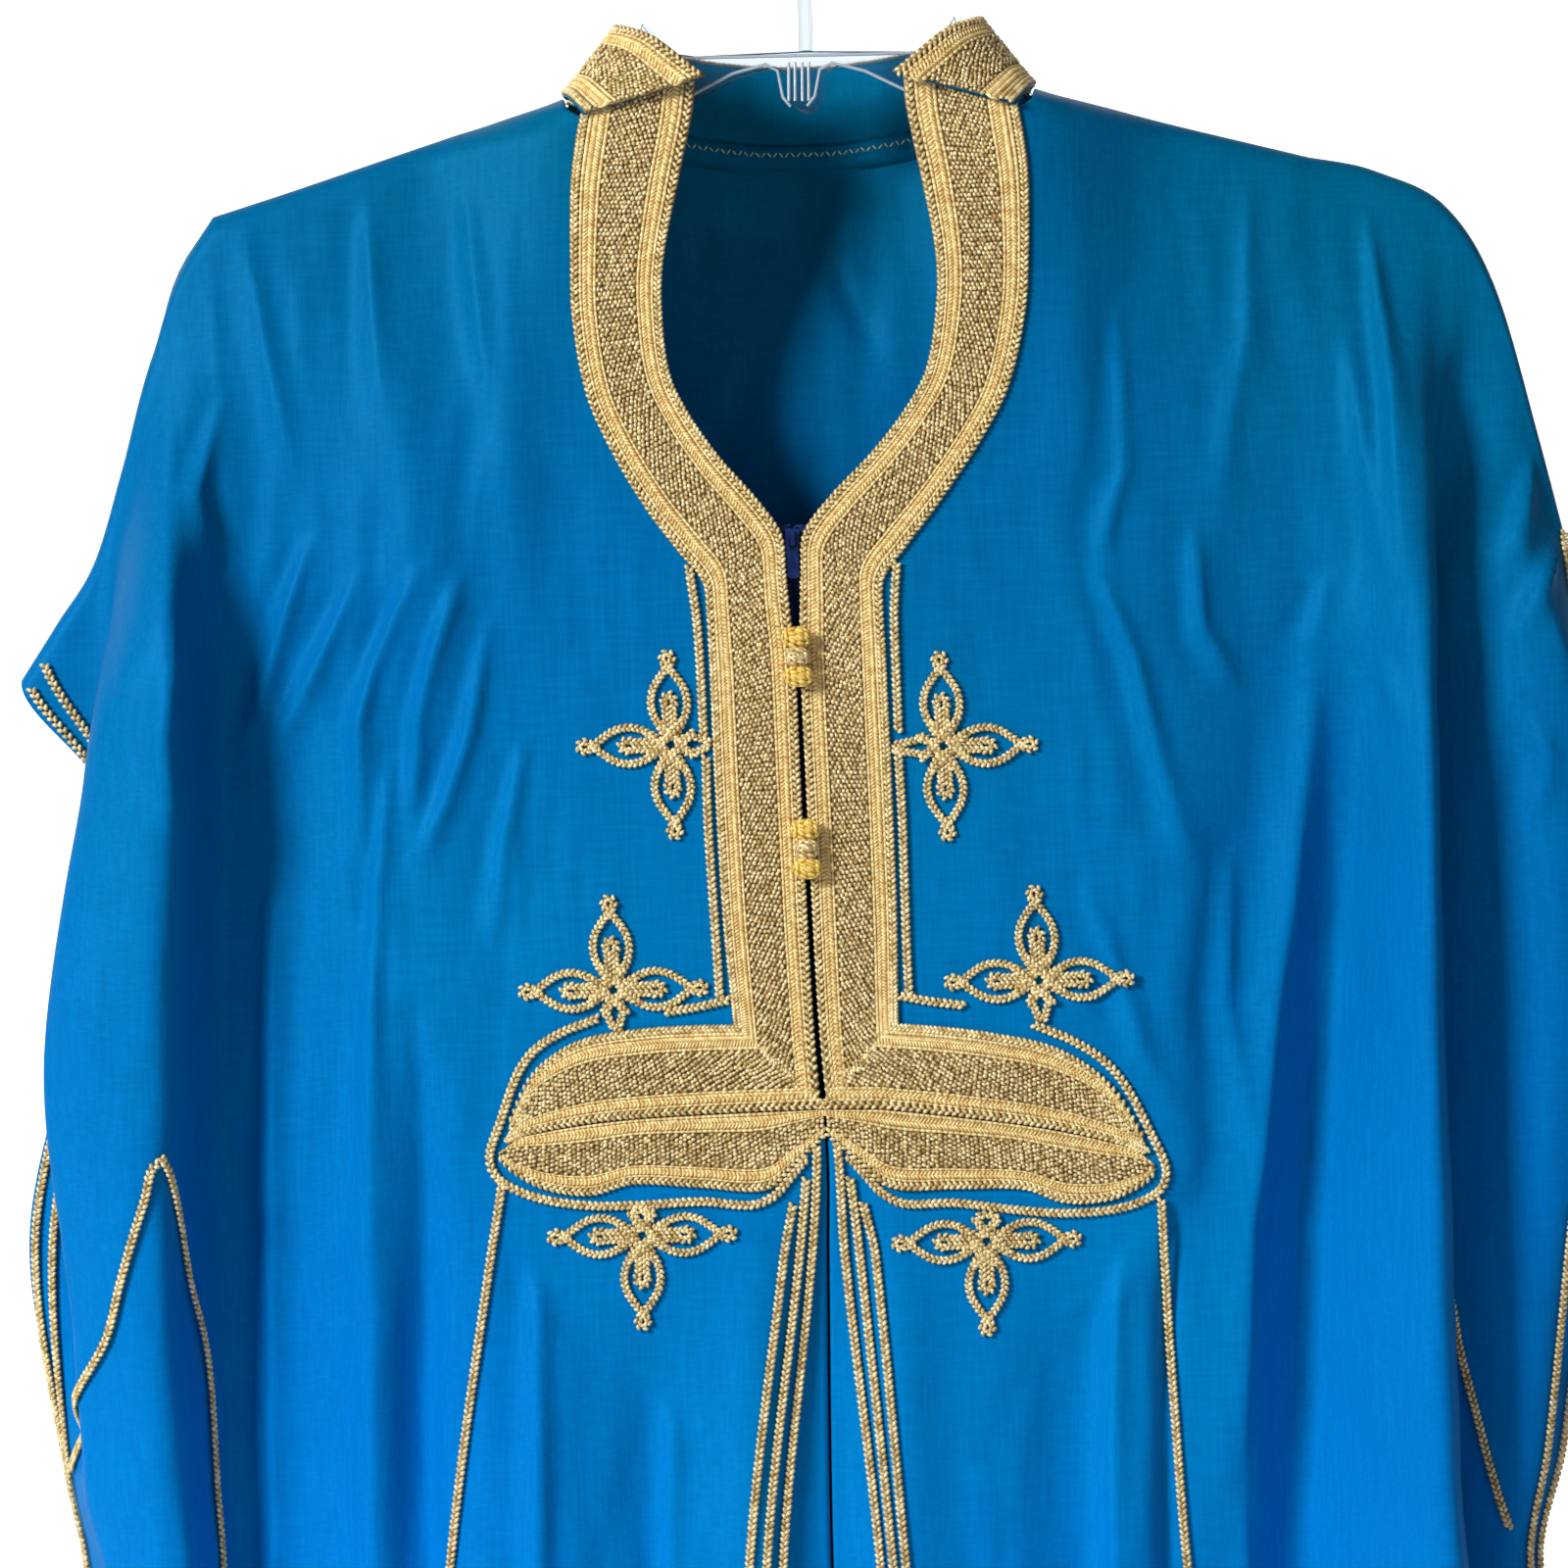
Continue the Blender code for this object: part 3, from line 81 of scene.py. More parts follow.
# %% Camera
VIEW_WIDTH = 560.0
VIEW_CENTRE = (-14.0, -25.0, -338.7)
VIEW_DISTANCE = 1600.0
VIEW_ROLL = 1.3


def make_camera():
    lens = bpy.data.cameras.new("camera")
    lens.sensor_width = 36.0
    lens.lens = 36.0 * VIEW_DISTANCE / VIEW_WIDTH
    made = linked("camera", lens)
    x, y, z = VIEW_CENTRE
    made.location = (x * MM, (y - VIEW_DISTANCE) * MM, z * MM)
    made.rotation_euler = (math.radians(90.0), math.radians(VIEW_ROLL), 0.0)
    bpy.context.scene.camera = made
    return made


camera = make_camera()
print("lens", round(camera.data.lens, 1), "mm")


# %% Backdrop and lights
def plain_material(name, colour, roughness, glow=0.0):
    made = bpy.data.materials.new(name)
    made.use_nodes = True
    shader = made.node_tree.nodes["Principled BSDF"]
    shader.inputs["Base Color"].default_value = (*colour, 1.0)
    shader.inputs["Roughness"].default_value = roughness
    if glow:
        shader.inputs["Emission Color"].default_value = (1.0, 1.0, 1.0, 1.0)
        shader.inputs["Emission Strength"].default_value = glow
    return made


def stage_sheet(name, size, place, turn, finish):
    shape = bmesh.new()
    bmesh.ops.create_grid(shape, x_segments=2, y_segments=2, size=size)
    spin = Matrix.Rotation(turn, 4, "X")
    bmesh.ops.transform(shape, matrix=Matrix.Translation(place) @ spin, verts=shape.verts)
    made = meshed(name, shape, finish)
    return made


def soft_light(name, place, target, size, watts):
    lamp = bpy.data.lights.new(name, "AREA")
    lamp.size = size
    lamp.energy = watts
    made = linked(name, lamp)
    made.location = place
    made.rotation_euler = (Vector(target) - Vector(place)).to_track_quat("-Z", "Y").to_euler()
    return made


STAGE_SIZE = 6.0
LIT_PLACE = (0.0, 0.0, -0.4)
AMBIENT = 0.11
floor_finish = plain_material("pale_floor", (0.86, 0.86, 0.86), 0.7)
stage_sheet("floor", STAGE_SIZE, (0, 0, -1.5), 0.0, floor_finish)
wall_finish = plain_material("white_wall", (0.9, 0.9, 0.9), 0.8, 0.95)
stage_sheet("wall", STAGE_SIZE, (0, 4.6, 0), math.radians(90), wall_finish)
soft_light("key_light", (-1.6, -1.6, 0.55), LIT_PLACE, 0.6, 62.0)
soft_light("fill_light", (1.1, -2.0, 0.1), LIT_PLACE, 1.4, 4.5)
world = bpy.data.worlds.new("studio")
world.use_nodes = True
world.node_tree.nodes["Background"].inputs["Color"].default_value = (1.0, 1.0, 1.0, 1.0)
world.node_tree.nodes["Background"].inputs["Strength"].default_value = AMBIENT
bpy.context.scene.world = world
bpy.context.scene.view_settings.view_transform = "Standard"
print("stage ready")

# %% [markdown]
# ## How the cloth hangs
# Each side of the cloth is read from a few lines that run from the top edge to the hem: the
# valley beside the body, the crest of the big fold, its turned edge, the cloth behind it, the
# outer roll and the selvedge. A smooth curve through a few heights gives each line, and
# smooth curves between the lines give the cloth. Folding a flat sheet by hand would give the
# same form, but the lines can be set to the picture one by one. Lengths are in millimetres.

# %% Sizes and lines of the drape
HEM_Z = -1454.0
NECK_HALF = 85.6
NECK_SIDE_Z = -89.5
NECK_BACK_DROP = 14.7
NECK_BACK_DEPTH = 44.9
SHOULDER_SLOPES = {"left": 0.3, "right": 0.275}
SHOULDER_ROLL = 10.0
NECK_ROLL = 27.0
TOP_EDGE_Y = 1.35
ZIP_TOP_Z = -249.0
WAIST_Z = -440.0
ZIP_HALF_GAP = 4.5
CENTRE_HALF_GAP = 0.5
DROOP_START = 20.0
DROOP = {"left": 0.0, "right": 0.1}

# How far below the top edge the body takes up its own width and depth
WIDTH_EASE, DEPTH_EASE = 110.0, 120.0
# The share of the body's width from which it turns to the valley, and of that held by the neck
VALLEY_FROM, NECK_SHARE = 0.62, 0.3
# How far out the neck's deeper roll fades
NECK_FADE = 60.0
# The body is this much flatter at this distance from its middle
BODY_ROUND, BODY_HALF = 0.12, 220.0
# A soft fold starts this much before its top and fades in over this length
FOLD_RUN_ON, FOLD_FADE = 30.0, 90.0

# How far the front's middle hangs to one side of the hanger's middle, by height
SWAY = (
    (-60, -2.5),
    (-145, -4),
    (-200, -6),
    (-250, -9),
    (-300, -8),
    (-362, -6.5),
    (-424, -4.5),
    (-471, -1.5),
    (-507, -2),
    (-620, -3),
    (-900, 0),
    (-1454, 0),
)
SWAY_FULL, SWAY_NONE = 120, 200.0

# Depth of the body's front below the shoulder, by height
BODY_DEPTH = (
    (-90, 22),
    (-200, 24),
    (-424, 25),
    (-620, 27),
    (-900, 33),
    (-1454, 42),
)

# Half width of the neck opening in the fronts' cloth, by height
NECKLINE = (
    (-89.5, 85.6),
    (-92, 84.2),
    (-98, 80.5),
    (-104, 58),
    (-112, 44),
    (-124, 45.5),
    (-150, 50.5),
    (-168, 51),
    (-191, 48),
    (-206, 41),
    (-222, 29),
    (-237, 15.5),
    (-249, 5.5),
    (-262, 4.5),
)

# The lines of the drape at each side, out from the body: the valley beside the body, the crest of
# the big fold, its turned edge, the cloth behind it, the outer roll and the selvedge.
LINES = ("valley", "crest", "turn", "behind", "roll", "edge")
# How far below the top line each one takes up its own run, and its roll over the top edge
LINE_EASES = (110, 110, 110, 110, 70, 45)
LINE_ROLL, LINE_ROLL_DROP = 6.0, 8.0
LINE_TOPS = {
    "left": ((218, -131.5), (239, -178), (251, -219), (262, -253), (275.5, -274), (289, -294.5)),
    "right": ((182, -116), (208, -122.5), (230, -134.5), (247, -163), (262, -219), (279, -292)),
}
Level = namedtuple("Level", "z valley crest turn behind roll edge")
LEVELS = {
    "left": (
        Level(-170, (213, 18), (230, 32), (240, 20), (232, 10), (236, 9), (240, 7)),
        Level(-240, (214, 14), (230, 46), (252, 32), (238, 14), (246, 10), (256, 8)),
        Level(-335, (215, 9), (231, 52), (264, 34), (240, 13), (248, 11), (261, 8)),
        Level(-430, (219, 6), (236, 50), (279, 34), (248, 13), (262, 12), (276, 8)),
        Level(-500, (220, 5), (238, 46), (274, 32), (256, 14), (274, 13), (290, 8)),
        Level(-583, (218, 3), (235, 39), (265, 32), (271, 20), (275, 11), (278, 2.5)),
        Level(-620, (216, 2.2), (233, 36), (259, 30), (264, 20), (269, 11), (272, 2.5)),
        Level(-900, (218, 2.2), (240, 38), (270, 32), (278, 22), (282, 12), (286, 2.5)),
        Level(-1454, (226, 2.5), (262, 42), (288, 34), (300, 24), (305, 14), (310, 3)),
    ),
    "right": (
        Level(-170, (182, 22), (211, 29), (222, 22), (226, 13), (240, 14), (247, 7)),
        Level(-260, (182, 18), (212, 38), (220, 26), (213, 8), (258, 24), (278, 8)),
        Level(-340, (183, 14), (212, 45), (219, 29), (209, 6), (265, 25), (286, 8)),
        Level(-420, (180, 11), (211, 47), (219, 30), (208, 5), (263, 23), (285, 8)),
        Level(-500, (173, 9), (210, 47), (220, 30), (208, 4), (254, 20), (275, 8)),
        Level(-583, (167, 7), (210, 45), (221, 30), (210, 3), (246, 16), (264, 5)),
        Level(-625, (165, 6), (211, 43), (223, 30), (212, 2.2), (241, 14), (254, 2.5)),
        Level(-900, (168, 10), (216, 44), (232, 30), (222, 2.2), (252, 18), (270, 2.5)),
        Level(-1454, (180, 16), (222, 48), (250, 32), (240, 2.5), (278, 22), (302, 3)),
    ),
}

# Soft folds of the body: where one starts and ends, its half width, and its depth to the front
Fold = namedtuple("Fold", "face side top_x top_z bottom_x bottom_z width depth")
FOLDS = (
    Fold("front", -1, 152, -135, 120, -330, 13, 3.5),
    Fold("front", -1, 108, -120, 96, -280, 10, 3),
    Fold("front", -1, 190, -250, 182, -1454, 24, 6),
    Fold("front", -1, 150, -470, 165, -1454, 16, -7),
    Fold("front", -1, 108, -535, 125, -1454, 18, 5),
    Fold("front", -1, 62, -530, 78, -1454, 15, -5),
    Fold("front", 1, 100, -115, 98, -260, 10, 3),
    Fold("front", 1, 150, -210, 140, -420, 16, 3),
    Fold("front", 1, 140, -430, 118, -1454, 20, 6.5),
    Fold("front", 1, 84, -520, 92, -1454, 15, -5.5),
    Fold("front", -1, 24, -500, 58, -1454, 12, 4),
    Fold("front", 1, 24, -500, 54, -1454, 12, 4.5),
    Fold("front", -1, 0, -490, 0, -1454, 15, -7),
    Fold("front", 1, 0, -490, 0, -1454, 15, -7),
    Fold("back", -1, 150, -150, 140, -1454, 20, 6),
    Fold("back", -1, 84, -300, 96, -1454, 18, -5),
    Fold("back", -1, 30, -200, 36, -1454, 18, 5),
    Fold("back", 1, 128, -150, 122, -1454, 18, 6),
    Fold("back", 1, 70, -260, 66, -1454, 17, -6),
)

# The stand collar's lower and upper edge, from the mitre at the front round to the back
CollarRow = namedtuple("CollarRow", "base top")
COLLAR = (
    CollarRow((78, -28, -97.6), (37, -33, -84.5)),
    CollarRow((82.6, -16.5, -91.2), (52, -25, -71.5)),
    CollarRow((84.6, -1, -88.8), (65, -7, -65)),
    CollarRow((78.2, 17, -91), (61.5, 13, -66.5)),
    CollarRow((53, 34.4, -97.4), (44, 31, -70)),
    CollarRow((20, 43, -102.4), (17, 40, -72.8)),
    CollarRow((0, 44.2, -103), (0, 41, -73.2)),
)

# Inner and outer edge of the braid that frames the neck and the zip, down to the waist's mitre
BraidRow = namedtuple("BraidRow", "inner outer")
NECK_BRAID = (
    BraidRow((37.6, -86.6), (78, -99.8)),
    BraidRow((38.5, -98), (79.5, -108)),
    BraidRow((44, -124), (81.3, -124)),
    BraidRow((49, -150), (81.4, -150)),
    BraidRow((49.5, -168), (80.5, -171)),
    BraidRow((46.4, -191), (75, -198)),
    BraidRow((39, -206), (66, -217)),
    BraidRow((27, -222), (52.5, -238.5)),
    BraidRow((13.5, -236.5), (40.5, -254.5)),
    BraidRow((4.2, -249.5), (32, -266)),
    BraidRow((3, -262), (31, -279)),
    BraidRow((2.7, -270), (31, -289)),
    BraidRow((1.5, -290), (31, -303)),
    BraidRow((1.5, -340), (31, -340)),
    BraidRow((1.5, -390), (30.5, -385)),
    BraidRow((1.5, -430), (29.2, -415)),
    BraidRow((1.5, -453), (28.8, -423.8)),
)
WAIST_UPPER = (
    BraidRow((30, -424.6), (2, -454.6)),
    BraidRow((45, -424.6), (30, -455)),
    BraidRow((62, -425.4), (56, -455.8)),
    BraidRow((82, -428.2), (80, -457.2)),
    BraidRow((95, -434.5), (97, -459.4)),
    BraidRow((104, -443), (107.5, -461.2)),
    BraidRow((111.5, -457), (113.5, -463)),
)
WAIST_LOWER = (
    BraidRow((2.2, -455.8), (3, -465.6)),
    BraidRow((12, -456), (12, -474)),
    BraidRow((24, -456.2), (22, -483)),
    BraidRow((45, -456.8), (45, -481.6)),
    BraidRow((68, -457.8), (70, -479.8)),
    BraidRow((84, -459.2), (85, -483.6)),
    BraidRow((99, -461.4), (101, -481)),
    BraidRow((110, -463.8), (112, -474.5)),
    BraidRow((115, -467), (115.4, -470.6)),
)

# Couched cords on both sides, as points out from the centre and down
Cord = namedtuple("Cord", "name points")
CORDS = (
    Cord("neck_cord", ((36.8, -263.5), (35.3, -279), (34.9, -298), (34.8, -317.5))),
    Cord("link_cord", ((34.4, -331.5), (34.7, -350), (34.4, -372), (33.9, -398), (33.8, -411.5))),
    Cord("link_turn_cord", ((33.6, -415.9), (41, -417.4), (50, -418.7))),
    Cord(
        "waist_outline_cord",
        (
            (80.5, -421.8),
            (91, -425.6),
            (101, -431.6),
            (108, -440),
            (115.8, -457),
            (120.6, -469.5),
            (117.8, -477.2),
            (105, -484),
            (87, -487.4),
            (68, -487.8),
            (45, -487),
            (27.5, -488.6),
            (19.5, -485.6),
            (13.2, -478.8),
            (9.6, -474.6),
        ),
    ),
)
DROOPING = ("waist_outline_cord",)
SKIRT_CORDS = {
    "left": (
        Cord("princess_cord", ((117, -482.4), (137, -616), (170, -900), (214, -1452))),
        Cord("centre_cord_1", ((3.8, -471), (5.7, -507), (17.7, -619), (34, -900), (52, -1452))),
        Cord("centre_cord_2", ((8.2, -483), (10.2, -507), (23.6, -619), (42, -900), (64, -1452))),
        Cord("centre_cord_3", ((13.2, -492), (15.8, -507), (29.8, -619), (50, -900), (76, -1452))),
    ),
    "right": (
        Cord("princess_cord", ((119, -493), (126.8, -620), (148, -900), (186, -1452))),
        Cord("centre_cord_1", ((3.8, -471), (5.9, -507), (17.2, -619), (32, -900), (50, -1452))),
        Cord("centre_cord_2", ((8.2, -483), (11.2, -507), (21.6, -619), (39, -900), (61, -1452))),
        Cord("centre_cord_3", ((13.2, -492), (16.7, -507), (26.2, -619), (46, -900), (72, -1452))),
    ),
}

# Cord motifs: the middle of each, the way its root points, and the root's length
Motif = namedtuple("Motif", "name side x z root_turn root")
MOTIFS = (
    Motif("motif_chest_left", -1, 46.6, -323.8, 90, 13.2),
    Motif("motif_waist_left", -1, 71.5, -410.8, 180, 13.6),
    Motif("motif_skirt_left", -1, 66.4, -498.6, 0, 8.4),
    Motif("motif_chest_right", 1, 50.6, -326.5, -90, 17.2),
    Motif("motif_waist_right", 1, 80.5, -410.8, 180, 13.6),
    Motif("motif_skirt_right", 1, 56.5, -503.4, 0, 9.4),
)

# Selvedge and side seam cords: which line of the drape, and where on it
EDGE_CORDS = (("edge_cord_outer", 5.82), ("edge_cord_inner", 5.4))
SeamCord = namedtuple("SeamCord", "name stations")
SKIRT_HEIGHTS = (-574, -620, -760, -900, -1080, -1260, -1452)
SEAM_CORDS = {
    "left": (
        SeamCord(
            "sleeve_seam_cord",
            (
                (2.06, -469),
                (2.12, -479),
                (2.2, -489),
                (2.28, -499),
                (2.36, -509),
                (2.52, -528),
                (2.7, -538.5),
                (2.95, -547.5),
                (3.25, -554.5),
                (3.6, -561),
                (4.4, -572),
                (4.92, -579),
            ),
        ),
        SeamCord(
            "side_seam_cord",
            (
                (1.86, -473),
                (1.74, -487),
                (1.58, -512),
                (1.38, -534),
                (1.32, -556),
                *((1.34, z) for z in SKIRT_HEIGHTS[1:]),
            ),
        ),
    ),
    "right": (
        SeamCord(
            "sleeve_seam_cord",
            (
                (4.3, -505),
                (4.36, -520),
                (4.42, -535),
                (4.46, -547),
                (4.56, -566),
                (4.68, -586),
                (4.8, -600),
                (4.94, -611),
            ),
        ),
        SeamCord("side_seam_cord", ((3.6, -508), (3.6, -525), *((3.6, z) for z in SKIRT_HEIGHTS))),
    ),
}

# Closures over the placket, knob, bead and knob in each: height of the middle
CLOSURES = (("upper", -293.5), ("lower", -362))
Bead = namedtuple("Bead", "name rise half_width half_height half_depth metallic")
BEADS = (
    Bead("top_knob", 6.9, 5.2, 3.3, 3, False),
    Bead("bead", 0, 4.3, 3.1, 3.2, True),
    Bead("bottom_knob", -6.9, 5.2, 3.3, 3, False),
)


# %% Curves through a few set values
def soft_step(value):
    """0 below 0, 1 above 1, and an even turn between."""
    t = np.clip(value, 0.0, 1.0)
    return t * t * (3.0 - 2.0 * t)


def curve_at(rows, at):
    """Values on a smooth curve through (place, value) rows. at, or the values, may be arrays."""
    rows = sorted(rows, key=lambda row: row[0])
    places = np.array([row[0] for row in rows], float)
    values = np.array([row[1] for row in rows], float)
    last = len(rows) - 1
    before = np.maximum(np.arange(last + 1) - 1, 0)
    after = np.minimum(np.arange(last + 1) + 1, last)
    rises = (values[after] - values[before]).T / (places[after] - places[before])
    slopes = rises.T
    at = np.clip(at, places[0], places[-1])
    i = np.clip(np.searchsorted(places, at, side="right") - 1, 0, last - 1)
    span = places[i + 1] - places[i]
    t = (at - places[i]) / span
    return (
        values[i] * (2 * t**3 - 3 * t**2 + 1)
        + slopes[i] * span * (t**3 - 2 * t**2 + t)
        + values[i + 1] * (3 * t**2 - 2 * t**3)
        + slopes[i + 1] * span * (t**3 - t**2)
    )


def shoulder_z(side, x):
    return NECK_SIDE_Z - SHOULDER_SLOPES[side] * (x - NECK_HALF)


def line_points(side, index, z, top):
    """x and depth of one drape line at heights z, easing out of its place on the top line."""
    name = LINES[index]
    x = curve_at([(level.z, getattr(level, name)[0]) for level in LEVELS[side]], z)
    depth = curve_at([(level.z, getattr(level, name)[1]) for level in LEVELS[side]], z)
    drop = top[1] - z
    ease = soft_step(drop / LINE_EASES[index])
    lift = 1.0 - np.minimum(drop / LINE_ROLL_DROP, 1.0)
    rolled = TOP_EDGE_Y + LINE_ROLL * np.sqrt(np.maximum(0.0, 1.0 - lift**2))
    return top[0] + (x - top[0]) * ease, rolled + (depth - rolled) * ease


def body_depth(face, side, x, z):
    """Depth of the body in front of (or behind) the hanger, with its soft folds."""
    depth = curve_at(BODY_DEPTH, z) * (1.0 - BODY_ROUND * (x / BODY_HALF) ** 2)
    for fold in FOLDS:
        if fold.face != face or fold.side != side:
            continue
        along = (z - fold.top_z) / (fold.bottom_z - fold.top_z)
        fade = soft_step((fold.top_z + FOLD_RUN_ON - z) / FOLD_FADE)
        if fold.bottom_z > HEM_Z:
            fade = fade * soft_step((z - fold.bottom_z + FOLD_RUN_ON) / FOLD_FADE)
        middle = fold.top_x + (fold.bottom_x - fold.top_x) * np.clip(along, 0.0, 1.0)
        depth = depth + fold.depth * fade * np.exp(-(((x - middle) / fold.width) ** 2))
    return depth


def opening_half(z):
    """Half width of the front opening: neckline, zip, then the closed seam."""
    closed = soft_step((WAIST_Z - z) / 14.0)
    below = ZIP_HALF_GAP + (CENTRE_HALF_GAP - ZIP_HALF_GAP) * closed
    return np.where(z > NECKLINE[-1][0], curve_at(NECKLINE, z), below)


# %% One column of cloth, from the top edge to the hem
def body_column(face, side, share, drops):
    """The body's cloth, at one share of the way from the middle to the valley."""
    valley_top = LINE_TOPS[side][0]
    start = NECK_HALF if face == "front" else 0.0
    top_x = start + (valley_top[0] - start) * share
    if top_x >= NECK_HALF:
        top_z = max(shoulder_z(side, top_x), valley_top[1])
        top_depth = TOP_EDGE_Y
    else:
        off = top_x / NECK_HALF
        top_depth = TOP_EDGE_Y + (NECK_BACK_DEPTH - TOP_EDGE_Y) * math.sqrt(1.0 - off**2)
        top_z = NECK_SIDE_Z - NECK_BACK_DROP * (1.0 - off**2)
    z = top_z + (HEM_Z - top_z) * drops
    drop = top_z - z
    valley_x, valley_depth = line_points(side, 0, z, valley_top)
    inner = opening_half(z) if face == "front" else 0.0
    ease = soft_step(drop / WIDTH_EASE)
    x = top_x + (inner + (valley_x - inner) * share - top_x) * ease
    if face == "front":
        x = x + (inner - start) * (1.0 - ease) * (1.0 - soft_step(share / NECK_SHARE))
    near_neck = 1.0 - soft_step((x - NECK_HALF + 5.0) / NECK_FADE)
    roll = SHOULDER_ROLL + (NECK_ROLL - SHOULDER_ROLL) * near_neck
    lift = 1.0 - np.minimum(drop / SHOULDER_ROLL, 1.0)
    rolled = TOP_EDGE_Y + (roll - TOP_EDGE_Y) * np.sqrt(np.maximum(0.0, 1.0 - lift**2))
    if top_x < NECK_HALF:
        rolled = np.maximum(top_depth, rolled)
    full = body_depth(face, SIDES[side], x, z)
    depth = rolled + (full - rolled) * soft_step(drop / DEPTH_EASE)
    to_valley = soft_step((share - VALLEY_FROM) / (1.0 - VALLEY_FROM)) * ease
    return x, depth + (valley_depth - depth) * to_valley, z


def top_at(side, place):
    """x and z of the top edge at one place out from the valley."""
    tops = LINE_TOPS[side]
    return [float(curve_at([(k, top[i]) for k, top in enumerate(tops)], place - 1)) for i in (0, 1)]


def side_column(face, side, place, drops):
    """The cloth out from the valley: place 1 is the valley line, 2 the crest, up to 6."""
    top_x, top_z = top_at(side, place)
    z = top_z + (HEM_Z - top_z) * drops
    lines = [line_points(side, k, z, (top_x, top_z)) for k in range(len(LINES))]
    inner = body_column(face, side, 0.8, drops)
    xs = [(-1.0, inner[0])] + [(k, line[0]) for k, line in enumerate(lines)]
    depths = [(-1.0, inner[1])] + [(k, line[1]) for k, line in enumerate(lines)]
    return curve_at(xs, place - 1), curve_at(depths, place - 1), z


def cloth_grid(face, side, places, drops):
    """Points (down, across, 3) of one face on one side, before the lean."""
    columns = []
    for place in places:
        maker = body_column if place < 1.0 else side_column
        x, depth, z = maker(face, side, place, drops)
        sign = -1.0 if face == "front" else 1.0
        columns.append(np.stack([SIDES[side] * x + 0 * z, sign * depth, z], axis=1))
    return np.stack(columns, axis=1)


def leaned(points):
    """Points moved with the lean of the front."""
    points = np.array(points, float)
    hold = 1.0 - soft_step((np.abs(points[..., 0]) - SWAY_FULL) / (SWAY_NONE - SWAY_FULL))
    points[..., 0] += curve_at(SWAY, points[..., 2]) * hold
    return points


print("valley at 0.4 m:", np.round(line_points("left", 0, np.array([-400.0]), (221, -147)), 1).T)
